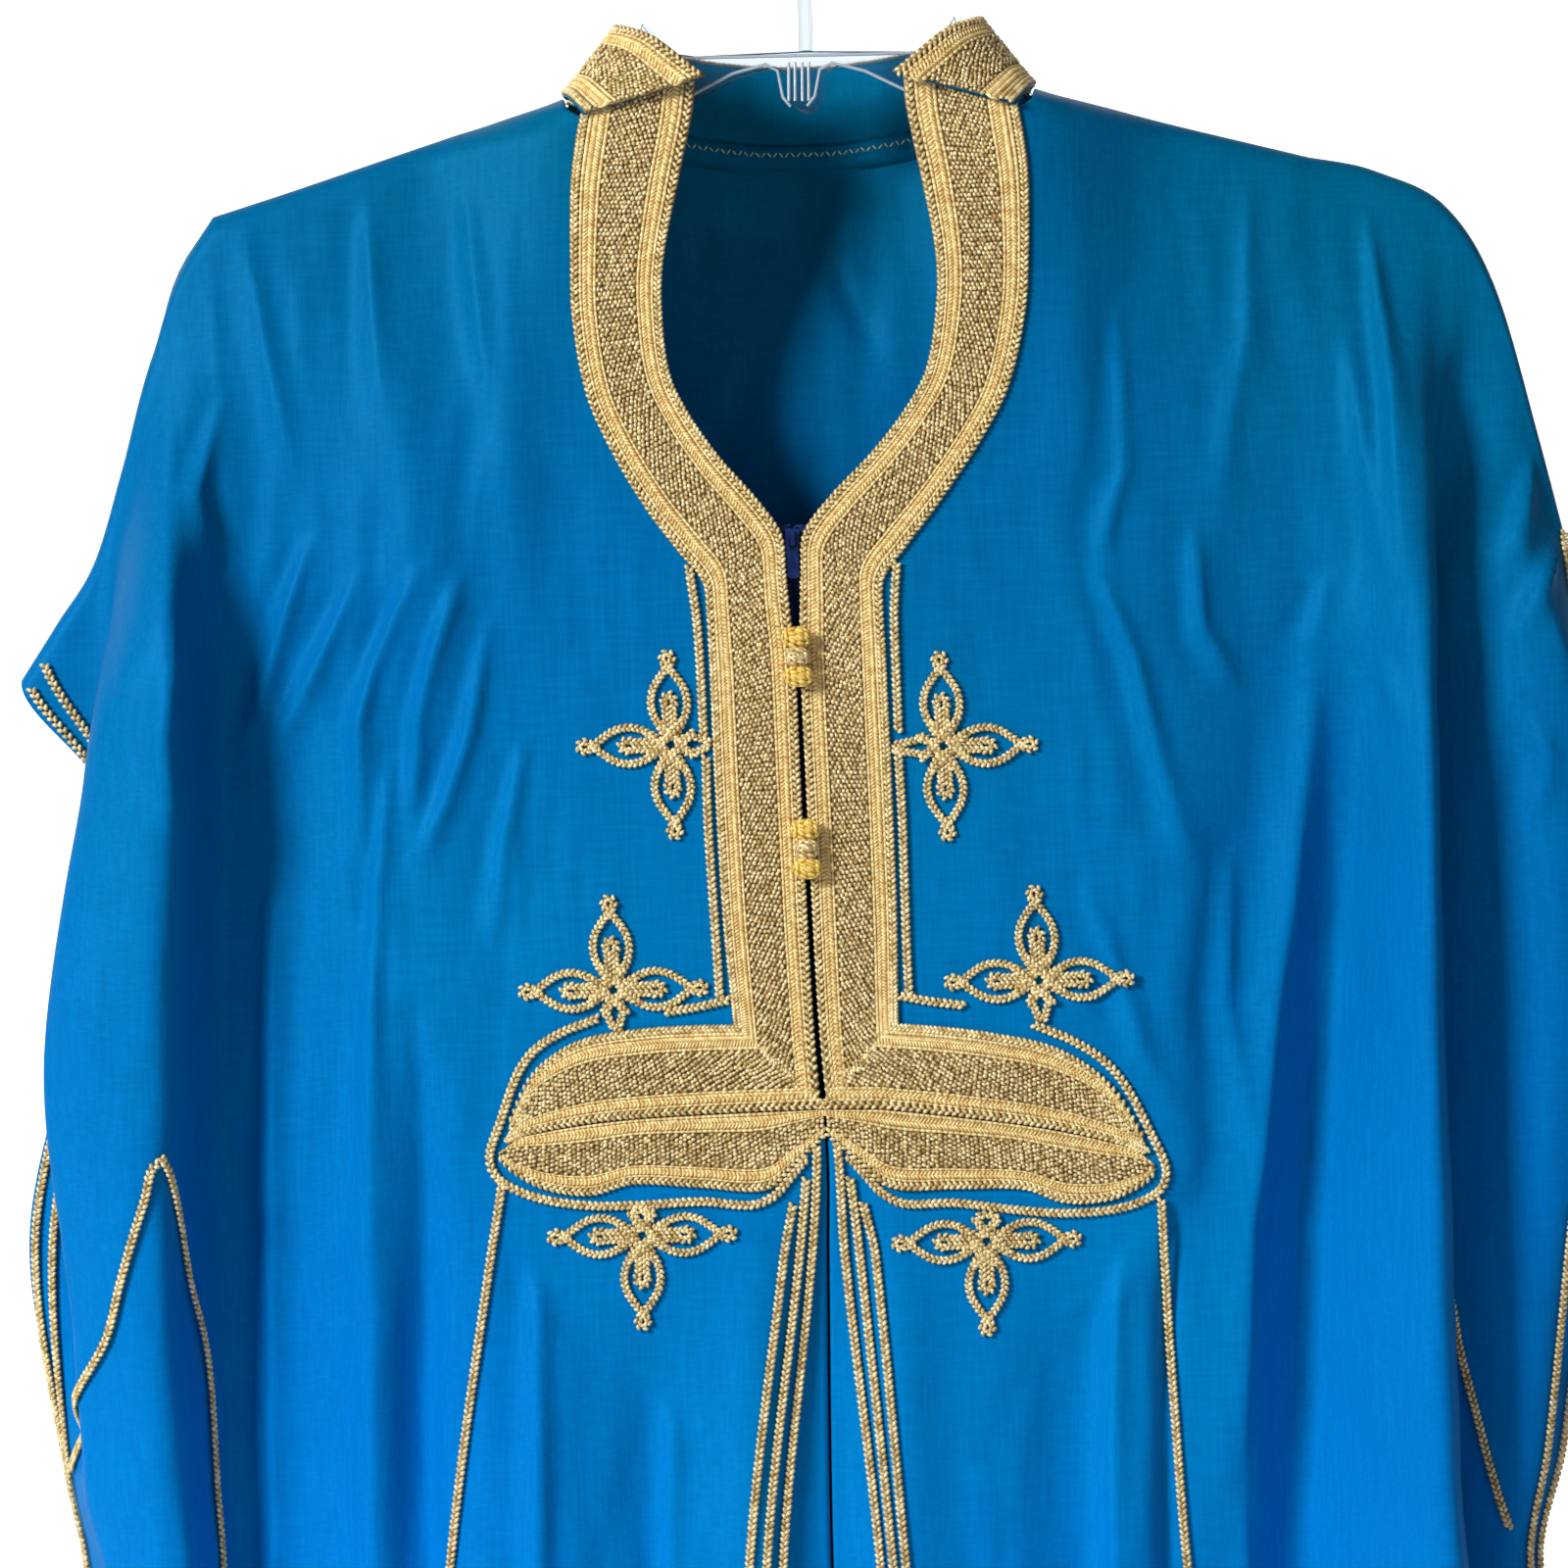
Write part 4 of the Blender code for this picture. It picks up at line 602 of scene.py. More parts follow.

# %% [markdown]
# ## Creases
# A garment that was folded away keeps soft creases: short ridges with a shallow dip beside
# each, fanning down from the chest. They are set along a few points each, with their
# own widths and heights. A fine uneven ripple over the whole cloth keeps it from looking
# pressed.

# %% Crease lines
Crease = namedtuple("Crease", "width height points")
CREASES = {
    "front": (
        Crease(5.0, 2.6, ((-182, -251), (-194, -283), (-206, -319))),
        Crease(5.5, 2.6, ((-164, -266), (-179, -294), (-196, -321))),
        Crease(5.0, 2.4, ((-136, -262), (-154, -292), (-162, -315), (-163, -363))),
        Crease(4.5, 2.2, ((-119, -262), (-130, -290), (-137, -312), (-142, -353))),
        Crease(4.5, 2.2, ((-110, -280), (-119, -319), (-128, -342), (-138, -362))),
        Crease(4.0, 1.6, ((-99, -322), (-108, -356), (-113, -391))),
        Crease(4.5, 1.8, ((-150, -330), (-156, -370), (-160, -420), (-163, -470))),
        Crease(5.0, 1.6, ((-214, -200), (-222, -229), (-217, -273))),
        Crease(4.0, 1.6, ((-228, -280), (-232, -320), (-230, -350))),
        Crease(7.0, 1.5, ((-159, -115), (-155, -160), (-150, -205))),
        Crease(6.0, 1.3, ((-120, -122), (-116, -160), (-110, -200))),
        Crease(6.5, 1.3, ((-204, -133), (-196, -180), (-185, -230))),
        Crease(4.0, 1.2, ((-94, -115), (-92, -150), (-90, -180))),
        Crease(7.0, 2.9, ((-198, -380), (-201, -470), (-203, -560), (-205, -820))),
        Crease(9.0, 2.8, ((-163, -390), (-165, -480), (-168, -820))),
        Crease(9.0, -3.2, ((-144, -420), (-147, -560), (-149, -820))),
        Crease(6.0, 2.4, ((-104, -485), (-104, -560), (-108, -820))),
        Crease(5.0, 1.9, ((-60, -505), (-56, -570), (-60, -820))),
        Crease(5.0, 2.4, ((201, -140), (206, -200), (208, -270))),
        Crease(5.0, 1.8, ((192, -186), (197, -231), (204, -280))),
        Crease(4.0, 1.8, ((142, -252), (143, -286), (152, -305))),
        Crease(4.5, 1.3, ((114, -175), (118, -230), (110, -259))),
        Crease(5.0, 2.2, ((109, -266), (120, -296), (126, -326), (135, -366))),
        Crease(4.0, 1.6, ((183, -270), (178, -294))),
        Crease(4.0, 1.4, ((200, -298), (205, -324))),
        Crease(4.5, 2.0, ((259, -226), (250, -262))),
        Crease(4.5, 2.0, ((268, -256), (250, -292))),
        Crease(4.5, 1.8, ((256, -322), (259, -336), (253, -358))),
        Crease(6.0, 1.3, ((160, -125), (158, -180), (150, -235))),
        Crease(5.0, 1.2, ((100, -380), (112, -420), (118, -470))),
        Crease(5.0, 1.6, ((150, -370), (146, -420), (150, -480))),
        Crease(7.0, 2.6, ((104, -480), (102, -560), (100, -820))),
        Crease(6.0, -2.2, ((124, -460), (121, -560), (120, -820))),
        Crease(11.0, 3.5, ((180, -300), (167, -391), (147, -500), (144, -582), (146, -820))),
        Crease(14.0, -4.0, ((194, -300), (184, -391), (170, -500), (168, -582), (172, -820))),
    ),
    "back": (
        Crease(4.0, 1.4, ((-2, -101), (1, -129), (6, -152))),
        Crease(4.0, 1.4, ((-28, -108), (-36, -132), (-37, -152))),
        Crease(4.0, 1.4, ((11, -148), (18, -160), (27, -178))),
        Crease(4.0, 1.2, ((-14, -172), (-25, -207))),
        Crease(7.0, 2.0, ((90, -150), (86, -240), (100, -330))),
        Crease(7.0, 2.0, ((-80, -170), (-95, -260), (-90, -360))),
        Crease(6.0, 2.0, ((150, -260), (136, -330), (140, -400))),
        Crease(6.0, 2.2, ((-150, -240), (-168, -330), (-164, -420))),
        Crease(6.0, 1.8, ((20, -330), (4, -420), (10, -520))),
        Crease(8.0, 2.0, ((60, -520), (52, -700), (60, -900))),
        Crease(8.0, 2.0, ((-60, -560), (-66, -760), (-58, -980))),
    ),
}


# %% Height of the creases over the smooth cloth
CREASE_RISE = 1.9
# Creases and ripple fade in over this length below the top edge
CREASE_START = 40.0
# The ripple's length across and down the cloth, and its height
SLOW_WAVE, SLOW_RISE = (34.0, 120.0), 1.3
FINE_WAVE, FINE_RISE = (11.0, 42.0), 1.0


def crease_height(face, x, z):
    """Sum of the crease profiles at points: a ridge, and a shallow dip on its outer side."""
    total = np.zeros_like(x)
    for crease in CREASES[face]:
        nearest = np.full(x.shape, 1e9)
        signed = np.zeros_like(x)
        along = np.zeros_like(x)
        count = len(crease.points) - 1
        for k, (start, end) in enumerate(zip(crease.points, crease.points[1:])):
            run = np.array(end, float) - start
            length = float(np.hypot(*run))
            dx, dz = x - start[0], z - start[1]
            t = np.clip((dx * run[0] + dz * run[1]) / length**2, 0.0, 1.0)
            off_x, off_z = dx - run[0] * t, dz - run[1] * t
            distance = np.hypot(off_x, off_z)
            closer = distance < nearest
            nearest = np.where(closer, distance, nearest)
            side = np.sign(dx * run[1] - dz * run[0])
            signed = np.where(closer, distance * side, signed)
            along = np.where(closer, (k + t) / count, along)
        taper = np.sqrt(np.maximum(np.sin(np.pi * np.clip(along, 0.02, 0.98)), 0.0))
        width = crease.width * (0.62 + 0.45 * along)
        ridge = 0.6 * np.exp(-((nearest / width) ** 2)) + 0.5 * np.exp(-nearest / (0.55 * width))
        dip = 0.4 * np.exp(-(((signed - 1.7 * width) / (1.4 * width)) ** 2))
        total += CREASE_RISE * crease.height * taper * (ridge - dip)
    return total


def ripple(x, z, seed):
    """A fine uneven ripple, longer down the cloth than across it."""
    found = np.empty(x.size)
    for k, (px, pz) in enumerate(zip(x.ravel(), z.ravel())):
        slow = noise.noise(Vector((px / SLOW_WAVE[0], pz / SLOW_WAVE[1], seed)))
        fine = noise.noise(Vector((px / FINE_WAVE[0] + slow, pz / FINE_WAVE[1], seed + 9.0)))
        found[k] = SLOW_RISE * slow + FINE_RISE * fine * (1.0 + slow)
    return found.reshape(x.shape)


# Height, and half width of the cloth that the braid and the knots hold flat there
CALM_HALVES = (
    (-600, 10),
    (-500, 110),
    (-470, 124),
    (-430, 96),
    (-405, 60),
    (-300, 48),
    (-262, 42),
    (-200, 88),
    (-80, 88),
)
CALM_FADE = 18.0


def braid_calm(x, z):
    """0 where the trimmings hold the cloth flat, and 1 away from them."""
    half = curve_at(CALM_HALVES, z)
    return soft_step((np.abs(x) - half) / CALM_FADE)


# %% [markdown]
# ## Finishes
# The cloth is a thin plain weave with a soft sheen. Its threads are far finer than a pixel of
# the picture, so the finish carries slubs: long thin streaks along both threads, in the colour
# and in the bump. The braid has two threads, a matt yellow silk and a wrapped metallic one,
# and the ground under its stitches is painted nearly black as painted shade in the gaps between them.

# %% Materials
def finish(name, colour, roughness, metallic=0.0):
    """A Principled material and its nodes."""
    made = bpy.data.materials.new(name)
    made.use_nodes = True
    shader = made.node_tree.nodes["Principled BSDF"]
    shader.inputs["Base Color"].default_value = (*colour, 1.0)
    shader.inputs["Roughness"].default_value = roughness
    shader.inputs["Metallic"].default_value = metallic
    made.diffuse_color = (*colour, 1.0)
    return made, made.node_tree.nodes, made.node_tree.links, shader


def added(nodes, kind, **values):
    """A new shader node, with the values of its inputs."""
    made = nodes.new(f"ShaderNode{kind}")
    for socket, value in values.items():
        made.inputs[socket.replace("_", " ")].default_value = value
    return made


def streaks(nodes, links, scale, stretch, detail=3.0):
    """A noise in object space, stretched along one axis."""
    place = added(nodes, "TexCoord")
    turn = added(nodes, "Mapping", Scale=stretch)
    pattern = added(nodes, "TexNoise", Scale=scale, Detail=detail)
    links.new(place.outputs["Object"], turn.inputs["Vector"])
    links.new(turn.outputs["Vector"], pattern.inputs["Vector"])
    return pattern


def mixed(nodes, links, kind, amount, first, second):
    """A colour Mix node; first and second are sockets or colours."""
    mix = added(nodes, "Mix")
    mix.data_type = "RGBA"
    mix.blend_type = kind
    for socket, given in (("Factor", amount), ("A", first), ("B", second)):
        wanted = [s for s in mix.inputs if s.name == socket and s.enabled][0]
        if isinstance(given, bpy.types.NodeSocket):
            links.new(given, wanted)
        elif isinstance(given, tuple):
            wanted.default_value = (*given, 1.0)
        else:
            wanted.default_value = given
    return [s for s in mix.outputs if s.enabled][0]


def bumped(nodes, links, shader, height, strength, distance):
    bump = added(nodes, "Bump", Strength=strength, Distance=distance)
    links.new(height, bump.inputs["Height"])
    links.new(bump.outputs["Normal"], shader.inputs["Normal"])


# The cloth's colour from the skirt up to the shoulders, painted darker and more teal above as painted shade,
# and the heights between which it turns
CLOTH_LOW, CLOTH_LOW_Z = (0.0, 0.2, 0.62), -0.62
CLOTH_HIGH, CLOTH_HIGH_Z = (0.0, 0.118, 0.25), -0.1


def make_cloth_finish():
    made, nodes, links, shader = finish("blue_cloth", (0.0, 0.2, 0.45), 0.5)
    shader.inputs["Specular IOR Level"].default_value = 0.22
    shader.inputs["Specular Tint"].default_value = (0.03, 0.5, 1.0, 1.0)
    place = added(nodes, "TexCoord")
    apart = added(nodes, "SeparateXYZ")
    links.new(place.outputs["Object"], apart.inputs["Vector"])
    height = added(nodes, "MapRange", From_Min=CLOTH_LOW_Z, From_Max=CLOTH_HIGH_Z)
    links.new(apart.outputs["Z"], height.inputs["Value"])
    # Painted shade: the cloth's colour darkens by height towards the shoulders
    tone = mixed(nodes, links, "MIX", height.outputs["Result"], CLOTH_LOW, CLOTH_HIGH)
    cloud = streaks(nodes, links, 5.0, (1.0, 1.0, 0.6), 2.0)
    tone = mixed(nodes, links, "SOFT_LIGHT", 0.3, tone, cloud.outputs["Color"])
    across = streaks(nodes, links, 900.0, (0.06, 1.0, 1.0), 2.0)
    down = streaks(nodes, links, 900.0, (1.0, 1.0, 0.06), 2.0)
    both = added(nodes, "Math")
    both.operation = "ADD"
    links.new(across.outputs["Fac"], both.inputs[0])
    links.new(down.outputs["Fac"], both.inputs[1])
    half = added(nodes, "Math")
    half.operation = "MULTIPLY"
    half.inputs[1].default_value = 0.5
    links.new(both.outputs["Value"], half.inputs[0])
    grey = added(nodes, "CombineColor")
    for channel in ("Red", "Green", "Blue"):
        links.new(half.outputs["Value"], grey.inputs[channel])
    tone = mixed(nodes, links, "OVERLAY", 0.35, tone, grey.outputs["Color"])
    links.new(tone, shader.inputs["Base Color"])
    bumped(nodes, links, shader, half.outputs["Value"], 0.25, 0.0006)
    return made


def make_thread_finish(name, dark, light, roughness, metallic, scale):
    made, nodes, links, shader = finish(name, light, roughness, metallic)
    cloud = streaks(nodes, links, scale, (1.0, 1.0, 1.0), 1.0)
    ramp = added(nodes, "ValToRGB")
    for stop, (position, colour) in zip(ramp.color_ramp.elements, ((0.36, dark), (0.62, light))):
        stop.position = position
        stop.color = (*colour, 1.0)
    links.new(cloud.outputs["Fac"], ramp.inputs["Fac"])
    links.new(ramp.outputs["Color"], shader.inputs["Base Color"])
    wrap = streaks(nodes, links, 2600.0, (1.0, 1.0, 1.0), 0.0)
    bumped(nodes, links, shader, wrap.outputs["Fac"], 0.3, 0.0002)
    return made


cloth_finish = make_cloth_finish()
silk_finish = make_thread_finish("yellow_silk", (0.8, 0.55, 0.21), (1.0, 0.82, 0.4), 0.5, 0.0, 420.0)
metal_finish = make_thread_finish("metallic_thread", (0.56, 0.39, 0.14), (1.0, 0.83, 0.46), 0.3, 0.15, 420.0)
# The braid's ground is painted near-black brown: painted shade in the gaps between the stitches
gap_shade_finish = make_thread_finish("braid_ground_shade", (0.1, 0.065, 0.024), (0.4, 0.27, 0.11), 0.7, 0.0, 900.0)
navy_finish = make_thread_finish("navy_zip", (0.003, 0.013, 0.07), (0.008, 0.036, 0.17), 0.4, 0.0, 500.0)


# %% [markdown]
# ## The three panels
# Each panel starts as a flat grid whose points are moved to the drape, with the creases and
# the ripple along its own normals. A Solidify modifier gives the cloth its thickness inwards.

# %% Panels
CLOTH_THICK = 0.7
BODY_PLACES = np.linspace(0.0, 0.985, 96)
SIDE_PLACES = np.linspace(1.0, 6.0, 84)
TOP_DROPS = np.array([0.0, 0.4, 1.0, 1.8, 3.0, 4.5, 6.5, 9.0, 12.0])
SEEN_DROPS = np.arange(15.0, 555.0, 3.0)
LOW_DROPS = np.linspace(558.0, 1364.5, 56)
DROPS = np.concatenate([TOP_DROPS, SEEN_DROPS, LOW_DROPS]) / 1364.5


def normals_of(grid):
    """Unit normals of a point grid, turned as down x across gives them."""
    down = np.gradient(grid, axis=0)
    across = np.gradient(grid, axis=1)
    found = np.cross(down, across)
    return found / np.maximum(np.linalg.norm(found, axis=-1, keepdims=True), 1e-9)


def creased(face, grid, seed):
    x, z = grid[..., 0], grid[..., 2]
    height = crease_height(face, x, z) + ripple(x, z, seed)
    if face == "front":
        height = height * braid_calm(x, z)
    height = height * soft_step((z[0] - z) / CREASE_START)
    normal = normals_of(grid)
    outward = -1.0 if face == "front" else 1.0
    middle = normal[:, :40].mean(axis=(0, 1))[1]
    flip = 1.0 if middle * outward > 0.0 else -1.0
    return grid + normal * flip * height[..., None]


def grid_piece(name, grid, thickness, finish_used):
    """A piece of cloth from a grid of points in millimetres, facing down x across."""
    down, across = grid.shape[:2]
    shape = bmesh.new()
    bmesh.ops.create_grid(shape, x_segments=across - 1, y_segments=down - 1, size=1.0)
    ordered = sorted(shape.verts, key=lambda v: (-round(v.co.y, 6), round(v.co.x, 6)))
    points = leaned(grid).reshape(-1, 3) * MM
    for vertex, point in zip(ordered, points.tolist()):
        vertex.co = point
    made = meshed(name, shape, finish_used)
    cloth_wall = made.modifiers.new("thickness", "SOLIDIFY")
    cloth_wall.thickness = thickness * MM
    cloth_wall.offset = -1.0
    return made


# The valley is rounded over these columns to each side, this many times, and fades out here
JOIN_COLUMNS, JOIN_ROUNDS = 9, 40
JOIN_LOW_Z, JOIN_FADE = -330.0, 80.0


def eased_join(grid, join):
    """The grid with its valley rounded near the shoulder, where the body meets the side."""
    columns = np.arange(join - JOIN_COLUMNS, join + JOIN_COLUMNS)
    high = soft_step((grid[:, columns, 2] - JOIN_LOW_Z) / JOIN_FADE)
    full = grid[:, columns, 1].copy()
    for _ in range(JOIN_ROUNDS):
        y = grid[..., 1]
        y[:, columns] = (y[:, columns - 1] + 2.0 * y[:, columns] + y[:, columns + 1]) / 4.0
    grid[:, columns, 1] = full + (grid[:, columns, 1] - full) * high
    return grid


def front_grid(side):
    places = np.concatenate([BODY_PLACES, SIDE_PLACES])
    smooth = eased_join(cloth_grid("front", side, places, DROPS), len(BODY_PLACES))
    return creased("front", smooth, SIDES[side] * 5.0)


fronts = {side: front_grid(side) for side in SIDES}
panels = {}
for side, grid in fronts.items():
    turned = grid if side == "right" else grid[:, ::-1]
    panels[side] = grid_piece(f"front_{side}", turned, CLOTH_THICK, cloth_finish)
    print(panels[side].name, grid.shape)

BACK_BODY = np.linspace(0.0, 0.985, 60)
BACK_SIDE = np.linspace(1.0, 6.0, 44)
BACK_DROPS = DROPS[np.r_[0:9, 9:189:2, 189:len(DROPS)]]
back_halves = {}
for side in SIDES:
    places = np.concatenate([BACK_BODY, BACK_SIDE])
    half = cloth_grid("back", side, places, BACK_DROPS)
    back_halves[side] = creased("back", half, 20.0)
back_grid = np.concatenate([back_halves["right"][:, ::-1], back_halves["left"][:, 1:]], axis=1)
back = grid_piece("back", back_grid, CLOTH_THICK, cloth_finish)
print(back.name, back_grid.shape)


# %% [markdown]
# ## Finding the cloth under a trimming
# Braid, knots and cords lie on the fronts. A search tree over the fronts gives the foremost
# cloth at any place, as seen from the front.

# %% Search tree over the fronts
def tree_of(grids):
    points, faces = [], []
    for grid in grids:
        down, across = grid.shape[:2]
        start = len(points)
        points += grid.reshape(-1, 3).tolist()
        for r in range(down - 1):
            for c in range(across - 1):
                a = start + r * across + c
                faces.append((a, a + 1, a + across + 1, a + across))
    return BVHTree.FromPolygons(points, faces)


front_tree = tree_of(fronts.values())


def front_y(x, z, reach=2.0):
    """Y of the foremost front cloth close to (x, z)."""
    found = []
    for dx in (-reach, 0.0, reach):
        for dz in (-reach, 0.0, reach):
            hit = front_tree.ray_cast(Vector((x + dx, -200.0, z + dz)), Vector((0, 1, 0)))
            if hit[0] is not None and hit[0].y < -2.0:
                found.append(hit[0].y)
    if found:
        return min(found)
    return front_tree.find_nearest(Vector((x, -27.0, z)))[0].y


# %% [markdown]
# ## Stitches
# Braid and plaited cord are rows of small wrapped stitches. One stitch is a low ball
# stretched to its length, width and height, laid on the cloth and turned along its row.
# Thousands of them give the relief that no bump can, because each one casts its shadow.

# %% Stitch heap
class StitchHeap:
    """Stitches of one piece, gathered first and made together."""

    def __init__(self, name):
        self.name = name
        self.stitches = []

    def add(self, centre, along, normal, length, width, height):
        self.stitches.append((centre, along, normal, length, width, height))

    def build(self, finish_used):
        whole = bmesh.new()
        for start in range(0, len(self.stitches), 300):
            part = bmesh.new()
            for stitch in self.stitches[start : start + 300]:
                bmesh.ops.create_icosphere(part, subdivisions=1, radius=0.5, matrix=stitch_matrix(*stitch))
            mesh = bpy.data.meshes.new("part")
            part.to_mesh(mesh)
            part.free()
            whole.from_mesh(mesh)
            bpy.data.meshes.remove(mesh)
        print(self.name, len(self.stitches), "stitches")
        return meshed(self.name, whole, finish_used)


def stitch_matrix(centre, along, normal, length, width, height):
    centre = Vector(leaned(centre)) * MM
    along = Vector(along).normalized()
    normal = Vector(normal)
    normal = (normal - along * normal.dot(along)).normalized()
    across = normal.cross(along)
    turn = Matrix((along, across, normal)).transposed().to_4x4()
    size = Matrix.Diagonal((length * MM, width * MM, height * MM, 1.0))
    return Matrix.Translation(centre) @ turn @ size


def even_path(points, step):
    """Points at even distances on a smooth curve through the given ones."""
    points = np.array(points, float)
    lengths = np.concatenate([[0.0], np.cumsum(np.linalg.norm(np.diff(points, axis=0), axis=1))])
    count = max(2, round(lengths[-1] / step) + 1)
    ats = np.linspace(0.0, lengths[-1], count)
    rows = [list(zip(lengths, column)) for column in points.T]
    return np.stack([curve_at(row, ats) for row in rows], axis=1)


# A plait's two rows: how far apart, how slanted, how long and how wide their stitches are
PLAIT_APART, PLAIT_LEAN, PLAIT_LENGTH, PLAIT_WIDTH = 0.23, 0.8, 1.4, 0.54


def plait(heap, path, normals, width=3.2, height=2.1, pitch=2.1):
    """A plaited cord of two rows of slanted stitches along an even path."""
    tangents = np.gradient(path, axis=0)
    for point, run, normal in zip(path, tangents, normals):
        run = run / max(np.linalg.norm(run), 1e-9)
        across = np.cross(normal, run)
        for way in (-1, 1):
            centre = point + across * way * width * PLAIT_APART
            centre = centre + run * pitch * 0.25 * way + normal * height * 0.42
            along = run - across * way * PLAIT_LEAN
            lying = normal + across * way * 0.4
            heap.add(centre, along, lying, pitch * PLAIT_LENGTH, width * PLAIT_WIDTH, height * 0.95)


# %% [markdown]
# ## Braid
# The braid is a woven band: a plaited cord along each edge, two strips of yellow chain
# beside them, and a basket of metallic stitches in the middle. A band of ground cloth lies
# under it, painted dark as the shade in the gaps between the stitches. Each band is given by
# its two edges, and its stitches by how far along and across they lie.

# %% A band laid on the cloth
FACING = np.array((0.0, -1.0, 0.0))
BAND_STEP, BAND_COLUMNS = 3.0, 7
# How far a band runs on past its ends, and past each edge
BAND_GROWTH = (1.8, 0.5)
# How far along and across a band its directions are measured
FRAME_REACH, FRAME_SHARE = 1.5, 0.04


class Band:
    """A band between two edges: places on it, in millimetres along and shares across."""

    def __init__(self, rows, upright=False):
        self.rows = rows
        self.upright = upright
        middle = (rows[:, 0] + rows[:, -1]) / 2
        lengths = np.linalg.norm(np.diff(middle, axis=0), axis=1)
        self.at = np.concatenate([[0.0], np.cumsum(lengths)])
        self.length = float(self.at[-1])
        self.width = np.linalg.norm(rows[:, -1] - rows[:, 0], axis=1)

    def point(self, along, share):
        i = min(int(np.searchsorted(self.at, along, side="right")) - 1, len(self.at) - 2)
        i = max(i, 0)
        t = (along - self.at[i]) / (self.at[i + 1] - self.at[i])
        u = min(max(share, 0.0), 1.0) * (self.rows.shape[1] - 1)
        j = min(int(u), self.rows.shape[1] - 2)
        u -= j
        near = self.rows[i, j] * (1 - u) + self.rows[i, j + 1] * u
        far = self.rows[i + 1, j] * (1 - u) + self.rows[i + 1, j + 1] * u
        return near * (1 - t) + far * t

    def frame(self, along, share):
        """Point, direction along, direction across and outward normal."""
        here = self.point(along, share)
        ahead, back = min(along + FRAME_REACH, self.length), max(along - FRAME_REACH, 0.0)
        run = self.point(ahead, share) - self.point(back, share)
        far, near = min(max(share, 0.0) + FRAME_SHARE, 1.0), max(min(share, 1.0) - FRAME_SHARE, 0.0)
        over = self.point(along, far) - self.point(along, near)
        run = run / np.linalg.norm(run)
        over = over / np.linalg.norm(over)
        normal = np.cross(over, run)
        out = np.array((here[0], here[1], 0.0)) if self.upright else FACING
        normal *= np.sign(normal.dot(out)) / np.linalg.norm(normal)
        return here, run, over, normal

    def width_at(self, along):
        return float(np.interp(along, self.at, self.width))

    def forward(self):
        """True if down x across of the rows already points off the cloth."""
        here, run, over, normal = self.frame(self.length / 2, 0.5)
        return np.cross(run, over).dot(normal) > 0.0


def smoothed(values, times):
    for _ in range(times):
        padded = np.pad(values, ((1, 1),) + ((0, 0),) * (values.ndim - 1), mode="edge")
        values = (padded[:-2] + 2 * padded[1:-1] + padded[2:]) / 4
    return values


def grown(edges, ends, sides):
    """Edge rows run on past both ends, and moved apart, by these lengths in millimetres."""
    half = edges.shape[1] // 2
    steps = [edges[0] - edges[1], edges[-1] - edges[-2]]
    tips = [step * ends / max(np.linalg.norm(step[:half]), 1e-9) for step in steps]
    edges = np.concatenate([[edges[0] + tips[0]], edges, [edges[-1] + tips[1]]])
    across = edges[:, half:] - edges[:, :half]
    across *= sides / np.linalg.norm(across, axis=1, keepdims=True)
    return np.concatenate([edges[:, :half] - across, edges[:, half:] + across], axis=1)


def lying_y(x, z, reach, eases, lift):
    """Y a little in front of the cloth at each place, eased over its neighbours."""
    y = np.array([front_y(a, b, reach) for a, b in zip(x.ravel(), z.ravel())]).reshape(x.shape)
    return np.minimum(y, smoothed(y, eases)) - lift


def front_band(rows, side, droop=0.0, lift=0.5):
    """A band on the front through rows of (inner x, z, outer x, z)."""
    edges = grown(even_path([(*row.inner, *row.outer) for row in rows], BAND_STEP), *BAND_GROWTH)
    shares = np.linspace(0.0, 1.0, BAND_COLUMNS)
    inner, outer = edges[:, :2], edges[:, 2:]
    flat = inner[:, None] + (outer - inner)[:, None] * shares[None, :, None]
    flat[..., 1] -= droop * np.maximum(0.0, flat[..., 0] - DROOP_START)
    flat[..., 0] *= side
    y = lying_y(flat[..., 0], flat[..., 1], 2.5, 6, lift)
    return Band(np.stack([flat[..., 0], y, flat[..., 1]], axis=-1))


def band_piece(name, band, thickness, finish_used):
    """The ground of a band, as a closed strip."""
    grid = band.rows if band.forward() else band.rows[:, ::-1]
    made = grid_piece(name, grid, thickness, finish_used)
    made.modifiers["thickness"].offset = 0.0
    return made


# %% The stitches of a band
CHAIN_PITCH, RAIL_PITCH, BASKET_PITCH, BASKET_COLUMN, CORD_PITCH = 1.35, 2.1, 1.6, 1.6, 2.1
# How far the middles of the stitches lie over the ground
CHAIN_LIFT, CORE_LIFT, RAIL_LIFT, BASKET_LIFT, SUNK_LIFT = 1.0, 0.5, 0.9, 1.0, 0.35
# Where the side threads of a silk strip lie, from its edges, and how many basket stitches are sunk
RAIL_SHARE, SUNK_SHARE = 0.09, 0.14


def chain(heap, band, low, high):
    """A strip of silk: one column of chain, and a smooth thread along each side."""
    for along in np.arange(0.0, band.length, CHAIN_PITCH):
        across_mm = band.width_at(along) * (high - low)
        for way in (-1, 1):
            share = (low + high) / 2 + way * 0.15 * (high - low)
            point, run, over, normal = band.frame(along, share)
            lean = run + over * way * 1.2
            lying = normal + over * way * 0.25
            heap.add(point + normal * CHAIN_LIFT, lean, lying, across_mm * 0.45, 0.95, 1.3)
    for along in np.arange(0.0, band.length, RAIL_PITCH):
        across_mm = band.width_at(along) * (high - low)
        point, run, over, normal = band.frame(along, (low + high) / 2)
        heap.add(point + normal * CORE_LIFT, run, normal, RAIL_PITCH * 1.9, across_mm * 0.9, 1.0)
        inset = (high - low) * RAIL_SHARE
        for share in (low + inset, high - inset):
            point, run, over, normal = band.frame(along, share)
            heap.add(point + normal * RAIL_LIFT, run, normal, RAIL_PITCH * 1.5, across_mm * 0.2, 1.1)


